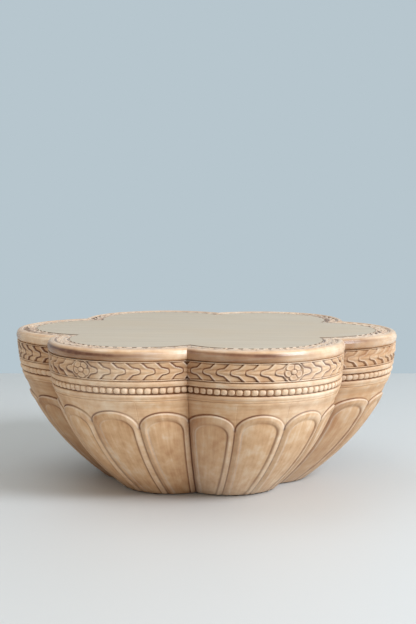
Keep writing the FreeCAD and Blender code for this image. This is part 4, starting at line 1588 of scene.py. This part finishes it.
@dataclass(frozen=True)
class CarvedRim:
    """The rim: a nose round above and squarish below, a crest, a slope to a carved border, and a ledge.

    Its section is swept round the lobe's centre. Distances in the section are measured from the drum's
    axis at the front of a lobe. Along the nose, each lobe has its own turn at which painted shade gives way
    to a painted highlight.
    """

    shape: DrumShape
    garland: LeafGarland = LeafGarland(
        half_width=0.0172,
        pitch=0.0315,
        nose_half_width=0.0060,
        nose_length=0.0150,
        relief=0.0040,
        rib=0.0014,
        rib_half_width=0.0075,
        line_width=0.0026,
        flower_radius=0.0155,
        button_radius=0.0045,
        lip=0.0012,
    )
    lobe_centre: float = 0.2862
    nose_reach: float = 0.5155
    nose_radius: float = 0.0155
    slope: float = 0.006
    slope_power: float = 1.5
    border_sink: float = 0.0044
    border_width: float = 0.0344
    border_margin: float = 0.001
    border_change: float = 0.0012
    ledge_width: float = 0.014
    ledge_sink: float = 0.0235
    face_fullness: float = 3.2
    crest_fullness: float = 2.15
    nose_taper: float = 0.0014
    nose_groove: Line = Line(0.45, 0.16, 0.0010)
    shift_length: float = 0.045
    shift: float = 0.0009
    across_share: float = 0.4
    wobble_length: float = 0.09
    wobble_depth: float = 0.0003
    dash_pitch: float = 0.0205
    dash_depth: float = 0.0028
    dash_sway: float = 1.5
    dash_sway_length: float = 0.031
    dash_line: Line = Line(0.0022, 0.0034)
    dash_span: tuple[float, float] = (-0.1, 0.4)
    join: float = 1.4
    join_span: tuple[float, float] = (0.10, 0.17)
    # painted shade on the nose's underside
    under_width: float = 0.004
    under_painted_shade: float = 0.6
    crest_span: tuple[float, float] = (0.001, 0.005)
    crest_glaze: float = 0.10
    crest_rub: float = 0.25
    border_glaze: float = 0.12
    border_rub: float = 0.2
    carving_wear_and_highlight: float = 0.7
    # per lobe, the turn at which the nose's painted shade ends and its painted highlight begins
    shade_ends: tuple[float, ...] = (-0.7, 0.1, 0.1, 0.3, 0.62, -0.05)
    shade_end_span: tuple[float, float] = (-0.6, 0.6)
    nose_streak: float = 0.62
    streak_top: float = 0.006
    streak_drop: float = 0.009
    streak_turns: tuple[float, float] = (-1.0, 0.4)
    streak_width: float = 0.0046
    streak_mean: float = 0.95
    streak_change: float = 0.3
    face_painted_shade: float = 0.66
    face_span: tuple[float, float] = (0.004, 0.012)
    nose_painted_highlight: float = 0.50
    highlight_span: tuple[float, float] = (0.002, 0.007)
    highlight_turns: tuple[float, float] = (-0.3, 0.5)
    highlight_mean: float = 0.8
    highlight_change: float = 0.5
    low_loss: float = 0.7
    low_span: tuple[float, float] = (0.018, 0.027)
    blur_reach: int = 3
    glaze_and_shade_depth: float = 0.0017
    columns: int = 421
    nose_rows: int = 46
    slope_rows: int = 7
    border_rows: int = 34
    shift_seed: int = 31
    wobble_seed: int = 40

    def section(self) -> tuple[Grid, Grid]:
        """Front of the section from the underside of the nose over the crest to the panel's edge.

        Returns:
            The distance from the axis and the height of each point.
        """
        angle = np.linspace(-math.pi / 2, math.pi / 2, self.nose_rows)
        power = np.where(angle < 0, self.face_fullness, self.crest_fullness)
        full = (np.abs(np.cos(angle)) ** power + np.abs(np.sin(angle)) ** power) ** (-1 / power)
        reach = self.nose_radius * full - self.nose_groove.at(angle)
        nose = np.stack([np.cos(angle), np.sin(angle)], axis=-1) * reach[:, None]
        crest = self.shape.height
        nose[:, 0] -= self.nose_taper * ease(-nose[:, 1], 0, self.nose_radius) * (nose[:, 0] > 0)
        nose = nose + np.array([self.nose_reach, crest - self.nose_radius])
        border_start = self.nose_reach - self.slope
        border_end = border_start - self.border_width
        share = np.linspace(0, 1, self.slope_rows + 1)[1:]
        fall = crest - self.border_sink * share**self.slope_power
        slope = np.stack([self.nose_reach - self.slope * share, fall], axis=-1)
        run = np.linspace(border_start, border_end, self.border_rows + 1)[1:]
        border = np.stack([run, np.full(run.size, crest - self.border_sink)], axis=-1)
        path = np.concatenate([nose, slope, border])
        return path[:, 0], path[:, 1]

    def segment(self, lobe: int) -> Skin:
        """The rim of one lobe, mitred at both notches.

        The carving is raised square to the section: by its tangent, turned a quarter turn outwards.

        Args:
            lobe: number of the lobe, counted from +X.

        Returns:
            The closed piece with what its finish reads.
        """
        turn = self.shape.turns(self.columns)
        azimuth = self.shape.azimuth(turn)
        reach, height = self.section()
        up = path_length(reach, height)
        middle = self.nose_reach - self.slope - self.border_width / 2
        wide = np.broadcast_to((reach - middle)[None, :], (self.columns, reach.size))
        run = np.broadcast_to(turn[:, None] * (middle - self.lobe_centre), wide.shape)
        rise = np.broadcast_to(up, wide.shape)
        on_border = ease(self.border_width / 2 + self.border_margin - wide, 0, self.border_change)
        shift = self.shift * hand_wobble(run, wide, self.shift_length, self.shift_seed + lobe)
        placed = (run + shift, wide + self.across_share * shift)
        dashes = self.dashes(run + shift, wide)
        lines, rub_and_highlight = self.garland.marks(*placed)
        carving = (self.garland.height(*placed) - self.dash_depth * dashes) * on_border
        wobble = hand_wobble(run, rise, self.wobble_length, self.wobble_seed + lobe)
        lift = carving + self.wobble_depth * wobble * (1 - on_border)
        tangent = np.stack([np.gradient(reach), np.gradient(height)], axis=-1)
        tangent = tangent / np.linalg.norm(tangent, axis=-1, keepdims=True)
        below = self.shape.height - height
        # painted shade along the nose and under it, and a painted highlight past each lobe's turn
        streak, nose_highlight = self.nose_marks(lobe, turn, below, wobble)
        underside = ease(self.under_width - up, 0, self.under_width)
        crest = (1 - ease(below, *self.crest_span)) * (1 - on_border)
        on_nose = on_border < 0.5
        # the border's even glaze and wear, with painted shade in the dashes' gaps and along the leaves'
        # outlines, and painted highlights on their edges
        border_glaze_and_shade = (self.border_glaze + np.maximum(dashes, lines)) * on_border
        border_rub = (self.border_rub + self.carving_wear_and_highlight * rub_and_highlight) * on_border
        return Skin(
            front=self._points(lobe, azimuth, reach + lift * tangent[:, 1], height - lift * tangent[:, 0]),
            back=self._back(lobe, azimuth),
            along=np.broadcast_to(self.shape.grain(lobe, turn), wide.shape),
            up=rise,
            sink=-lift,
            upright=np.zeros(wide.shape),
            glaze_and_shade_marks=self.under_painted_shade * underside + streak * on_nose + self.crest_glaze * crest + border_glaze_and_shade,
            wear_and_highlight_marks=border_rub + nose_highlight * on_nose + self.crest_rub * crest,
            blur_reach=self.blur_reach,
            glaze_and_shade_depth=self.glaze_and_shade_depth,
        )

    def nose_marks(self, lobe: int, turn: Grid, below: Grid, wobble: Grid) -> tuple[Grid, Grid]:
        """Painted shade streaked along the nose, and a painted highlight past the lobe's turn.

        Args:
            lobe: number of the lobe.
            turn: angle about the lobe's centre, one per column.
            below: depth of each row under the crest.
            wobble: unevenness of hand work, columns by rows.

        Returns:
            The painted shade and the painted highlight.
        """
        past_shade_end = (turn - self.shade_ends[lobe])[:, None]
        low = self.streak_top + self.streak_drop * ease(turn, *self.streak_turns)[:, None]
        streak = self.nose_streak * bell(below, low, self.streak_width)
        streak = streak + self.face_painted_shade * ease(below, *self.face_span)
        streak = streak * (1 - ease(past_shade_end, *self.shade_end_span)) * (self.streak_mean + self.streak_change * wobble)
        nose_highlight = self.nose_painted_highlight * ease(below, *self.highlight_span)
        nose_highlight = nose_highlight * (1 - self.low_loss * ease(below, *self.low_span))
        nose_highlight = nose_highlight * ease(past_shade_end, *self.highlight_turns) * (self.highlight_mean + self.highlight_change * wobble)
        return streak, nose_highlight

    def dashes(self, run: Grid, wide: Grid) -> Grid:
        """Gaps of uneven length in the carving beside the panel: a wave along the rim, a bell across it.

        Towards the notches the gaps join up.

        Args:
            run: distance along the rim from the lobe's middle.
            wide: distance outwards from the border's middle line.

        Returns:
            How much of a gap there is, 0 to 1.
        """
        sway = self.dash_sway * np.sin(run / self.dash_sway_length)
        wave = np.cos(FULL_TURN * run / self.dash_pitch + sway)
        joined = wave + self.join * ease(np.abs(run), *self.join_span)
        return ease(joined, *self.dash_span) * self.dash_line.at(wide + self.border_width / 2)

    def _points(self, lobe: int, azimuth: Grid, reach: Grid, height: Grid) -> Grid:
        """Section points carried to every column, where the column's plane cuts their circles."""
        distance = self.shape.ray(azimuth[:, None], self.lobe_centre, reach - self.lobe_centre)
        return self.shape.place(lobe, azimuth, distance, height)

    def _back(self, lobe: int, azimuth: Grid) -> Grid:
        """The ledge under the panel and the rim's inner side.

        Args:
            lobe: number of the lobe, counted from +X.
            azimuth: azimuth of each column.

        Returns:
            Points, columns by 3 by 3.
        """
        inner = self.nose_reach - self.slope - self.border_width
        deep = inner - self.ledge_width
        ledge = self.shape.height - self.ledge_sink
        reach, height, _ = np.broadcast_arrays(
            np.array([inner, deep, deep]),
            np.array([ledge, ledge, self.shape.rim_bottom()]),
            azimuth[:, None],
        )
        return self._points(lobe, azimuth, reach, height)

    def build(self, finish: CarvedWood) -> None:
        """Builds the rim of every lobe."""
        segments = map(self.segment, range(self.shape.lobe_count))
        build_row("rim_segment", finish.material("rim_wood"), segments)


@dataclass(frozen=True)
class InsetPanel:
    """The smooth lobed top panel, with a rounded arris."""

    shape: DrumShape
    lobe_centre: float = 0.2862
    radius: float = 0.1885
    drop: float = 0.0008
    thickness: float = 0.022
    arris: float = 0.0008
    arris_rings: int = 6
    edge_rings: tuple[float, float] = (0.006, 0.010)
    rings: int = 14
    ring_power: float = 1.2
    closing: float = 0.97
    columns_per_lobe: int = 64
    # painted shade on the panel's edge
    edge_shade_span: tuple[float, float] = (0.00208, 0.00312)
    edge_painted_shade: float = 0.8

    def panel(self) -> Skin:
        """Loops from the underside up the edge, over the arris and in to the middle, seen clockwise.

        Returns:
            The closed piece with what its finish reads.
        """
        half = math.pi / self.shape.lobe_count
        local = np.linspace(half, -half, self.columns_per_lobe, endpoint=False)
        outline = self.shape.ray(local, self.lobe_centre, self.radius)
        lobes = np.arange(self.shape.lobe_count)[::-1, None] * 2 * half
        heading = (local[None, :] + lobes).ravel()
        edge = np.tile(outline, self.shape.lobe_count)
        corner = np.linspace(0, math.pi / 2, self.arris_rings)
        pull = self.arris * (1 - np.cos(corner))
        top = self.shape.height - self.drop
        climb = top - self.arris * (1 - np.sin(corner))
        inward = np.concatenate([self.edge_rings, np.linspace(0, 1, self.rings)[1:] ** self.ring_power])
        shrink = np.concatenate([[0], pull, np.full(inward.size, self.arris)])
        share = np.concatenate([np.ones(1 + corner.size), 1 - self.closing * inward])
        height = np.concatenate([[top - self.thickness], climb, np.full(inward.size, top)])
        distance = (edge[None, :] - shrink[:, None]) * share[:, None]
        level = np.broadcast_to(height[:, None], distance.shape)
        points = np.stack([distance * np.cos(heading), distance * np.sin(heading), level], axis=-1)
        plain = np.zeros_like(distance)
        return Skin(
            front=points,
            back=points[:, :0],
            along=points[..., 0],
            up=points[..., 1],
            sink=plain,
            upright=plain,
            # painted shade on the panel's edge
            glaze_and_shade_marks=self.edge_painted_shade * (1 - ease(edge[None, :] - distance, *self.edge_shade_span)),
            wear_and_highlight_marks=plain,
        )

    def build(self, finish: WashedTop) -> None:
        """Builds the panel."""
        piece = self.panel().build("washed_top_panel")
        dress(piece, finish.material("washed_top"), ("top_panel",))


@dataclass(frozen=True)
class HiddenFrame:
    """The CAD nodes that stay: battens, base board, blocks, dowels, screws and glides."""

    cross_grain: tuple[str, ...] = ("left_batten", "right_batten")
    long_grain: tuple[str, ...] = ("long_batten", "base_board")
    upright_grain: tuple[str, ...] = ("corner_block_", "rim_dowels")
    screws: tuple[str, ...] = ("batten_screws", "base_screws")
    glides: tuple[str, ...] = ("foot_glides",)

    def build(self) -> None:
        """Gives each node that is still shown its finish."""
        finishes = {
            self.cross_grain: FrameWood(GrainRun.ALONG_Y).material("frame_wood_across"),
            self.long_grain: FrameWood(GrainRun.ALONG_X).material("frame_wood_along"),
            self.upright_grain: FrameWood(GrainRun.ALONG_Z).material("frame_wood_upright"),
            self.screws: ScrewSteel().material("screw_steel"),
            self.glides: GlidePlastic().material("glide_plastic"),
        }
        for starts, material in finishes.items():
            for name, node in frame["nodes"].items():
                if name.startswith(starts):
                    for holder in node.material_slots:
                        holder.material = material
                    LOG.info("%s: finish %s", name, material.name)


# Studio


@dataclass(frozen=True)
class Lamp:
    """A square soft lamp: where it hangs, the length of its side and its power in watts."""

    place: tuple[float, float, float]
    side: float
    power: float


@dataclass(frozen=True)
class Studio:
    """Camera at the photograph's angle, pale floor, pale wall behind and soft light from the right."""

    camera_place: tuple[float, float, float] = (0.3566, -3.5358, 0.8136)
    camera_pitch: float = math.radians(90 - 5.719)
    camera_heading: float = math.radians(5.631)
    lens: float = 73.722
    sensor: float = 36.0
    wall_distance: float = 5.465
    wall_half_width: float = 3.4
    wall_height: float = 3.0
    floor_half: float = 7.0
    floor_colour: tuple = tint(204, 203, 200)
    floor_patch: tuple = tint(200, 199, 197)
    floor_clouds: Pattern = Pattern((0.8, 0.8, 0.8), 2.0)
    patch_share: float = 0.2
    floor_roughness: float = 0.55
    wall_colour: tuple = tint(183, 198, 206)
    sky_colour: tuple = tint(255, 247, 234)
    light_colour: tuple = tint(231, 242, 255)
    world_light: float = 0.62
    lamp_aim: float = 0.25
    key: Lamp = Lamp((4.25, -2.4, 3.5), 2.3, 362.0)
    overhead: Lamp = Lamp((-1.2, 0.2, 4.4), 3.2, 38.0)
    front_fill: Lamp = Lamp((0.6, -4.4, 0.8), 2.0, 12.0)

    def build(self) -> None:
        """Makes the camera, the stage and the light, and sets the plain view transform."""
        self._camera()
        self._stage()
        for name, lamp in (("key", self.key), ("overhead", self.overhead), ("front_fill", self.front_fill)):
            self._lamp(name, lamp)
        self._world()
        bpy.context.scene.view_settings.view_transform = "Standard"

    def _camera(self) -> None:
        """The camera, level, turned a little to the left."""
        data = bpy.data.cameras.new("photo_camera")
        data.lens = self.lens
        data.sensor_width = self.sensor
        camera = bpy.data.objects.new("photo_camera", data)
        camera.location = self.camera_place
        camera.rotation_euler = (self.camera_pitch, 0.0, self.camera_heading)
        bpy.context.scene.collection.objects.link(camera)
        bpy.context.scene.camera = camera

    def _sheet(self, name: str, corners: Grid, material: bpy.types.Material) -> None:
        """A flat four-cornered stage piece.

        Args:
            name: name of the piece and its mesh.
            corners: its four corners.
            material: its finish.
        """
        mesh = bpy.data.meshes.new(name)
        mesh.from_pydata(corners.tolist(), [], [(0, 1, 2, 3)])
        mesh.materials.append(material)
        sheet = bpy.data.objects.new(name, mesh)
        bpy.context.scene.collection.objects.link(sheet)

    def _stage(self) -> None:
        """A floor and a wall square to the camera. Neither can be seen from behind."""
        floor = Bench.named("pale_floor")
        clouds = floor.noise(floor.frame_place(), self.floor_clouds)
        tone = floor.blend(clouds.clipped() * self.patch_share, self.floor_colour, self.floor_patch)
        half = self.floor_half
        square = np.array([[-half, -half, 0], [half, -half, 0], [half, half, 0], [-half, half, 0]])
        finish = {"Base Color": tone, "Roughness": self.floor_roughness}
        boards = floor.node("ShaderNodeBsdfPrincipled", None, finish).outputs[0]
        self._sheet("floor", square, floor.shown(floor.one_sided(boards)))
        ahead = np.array([-math.sin(self.camera_heading), math.cos(self.camera_heading), 0.0])
        aside = np.array([ahead[1], -ahead[0], 0.0])
        foot = np.array([*self.camera_place[:2], 0.0]) + ahead * self.wall_distance
        top = np.array([0.0, 0.0, self.wall_height])
        side = aside * self.wall_half_width
        wall = Bench.named("pale_wall")
        paint = wall.node("ShaderNodeBsdfDiffuse", None, {"Color": self.wall_colour}).outputs[0]
        glow = wall.node("ShaderNodeEmission", None, {"Color": self.wall_colour}).outputs[0]
        even = wall.node("ShaderNodeMixShader", None, {0: wall.looked_at(), 1: paint, 2: glow}).outputs[0]
        corners = np.array([foot - side, foot + side, foot + side + top, foot - side + top])
        self._sheet("wall", corners, wall.shown(wall.one_sided(even)))

    def _lamp(self, name: str, lamp: Lamp) -> None:
        """A square area lamp that faces the middle of the table.

        Args:
            name: the lamp's name.
            lamp: its place, size and power.
        """
        data = bpy.data.lights.new(name, "AREA")
        data.size = lamp.side
        data.energy = lamp.power
        data.color = self.light_colour[:3]
        holder = bpy.data.objects.new(name, data)
        away = np.array(lamp.place) - np.array([0.0, 0.0, self.lamp_aim])
        flat = math.hypot(away[0], away[1])
        holder.location = lamp.place
        holder.rotation_euler = (math.atan2(flat, away[2]), 0.0, math.atan2(away[0], -away[1]))
        bpy.context.scene.collection.objects.link(holder)

    def _world(self) -> None:
        """Even warm white light, seen as a pale blue surround."""
        world = Bench(bpy.data.worlds.new("studio"))
        light = {"Color": self.sky_colour, "Strength": self.world_light}
        lit = world.node("ShaderNodeBackground", None, light).outputs[0]
        seen = world.node("ShaderNodeBackground", None, {"Color": self.wall_colour}).outputs[0]
        mixed = world.node("ShaderNodeMixShader", None, {0: world.looked_at(), 1: lit, 2: seen}).outputs[0]
        bpy.context.scene.world = world.shown(mixed)


def main() -> None:
    """Builds the table from the foot up, then the studio."""
    logging.basicConfig(level=logging.INFO, format="%(name)s: %(message)s")
    shape = DrumShape()
    PetalWall(shape).build(CarvedWood())
    BeadBands(shape).build(CarvedWood(wash=0.25))
    LeafFrieze(shape).build(CarvedWood())
    CarvedRim(shape).build(CarvedWood(coat=0.8, coat_roughness=0.28, wash=0.35))
    InsetPanel(shape).build(WashedTop())
    HiddenFrame().build()
    Studio().build()


if __name__ == "__main__":
    main()
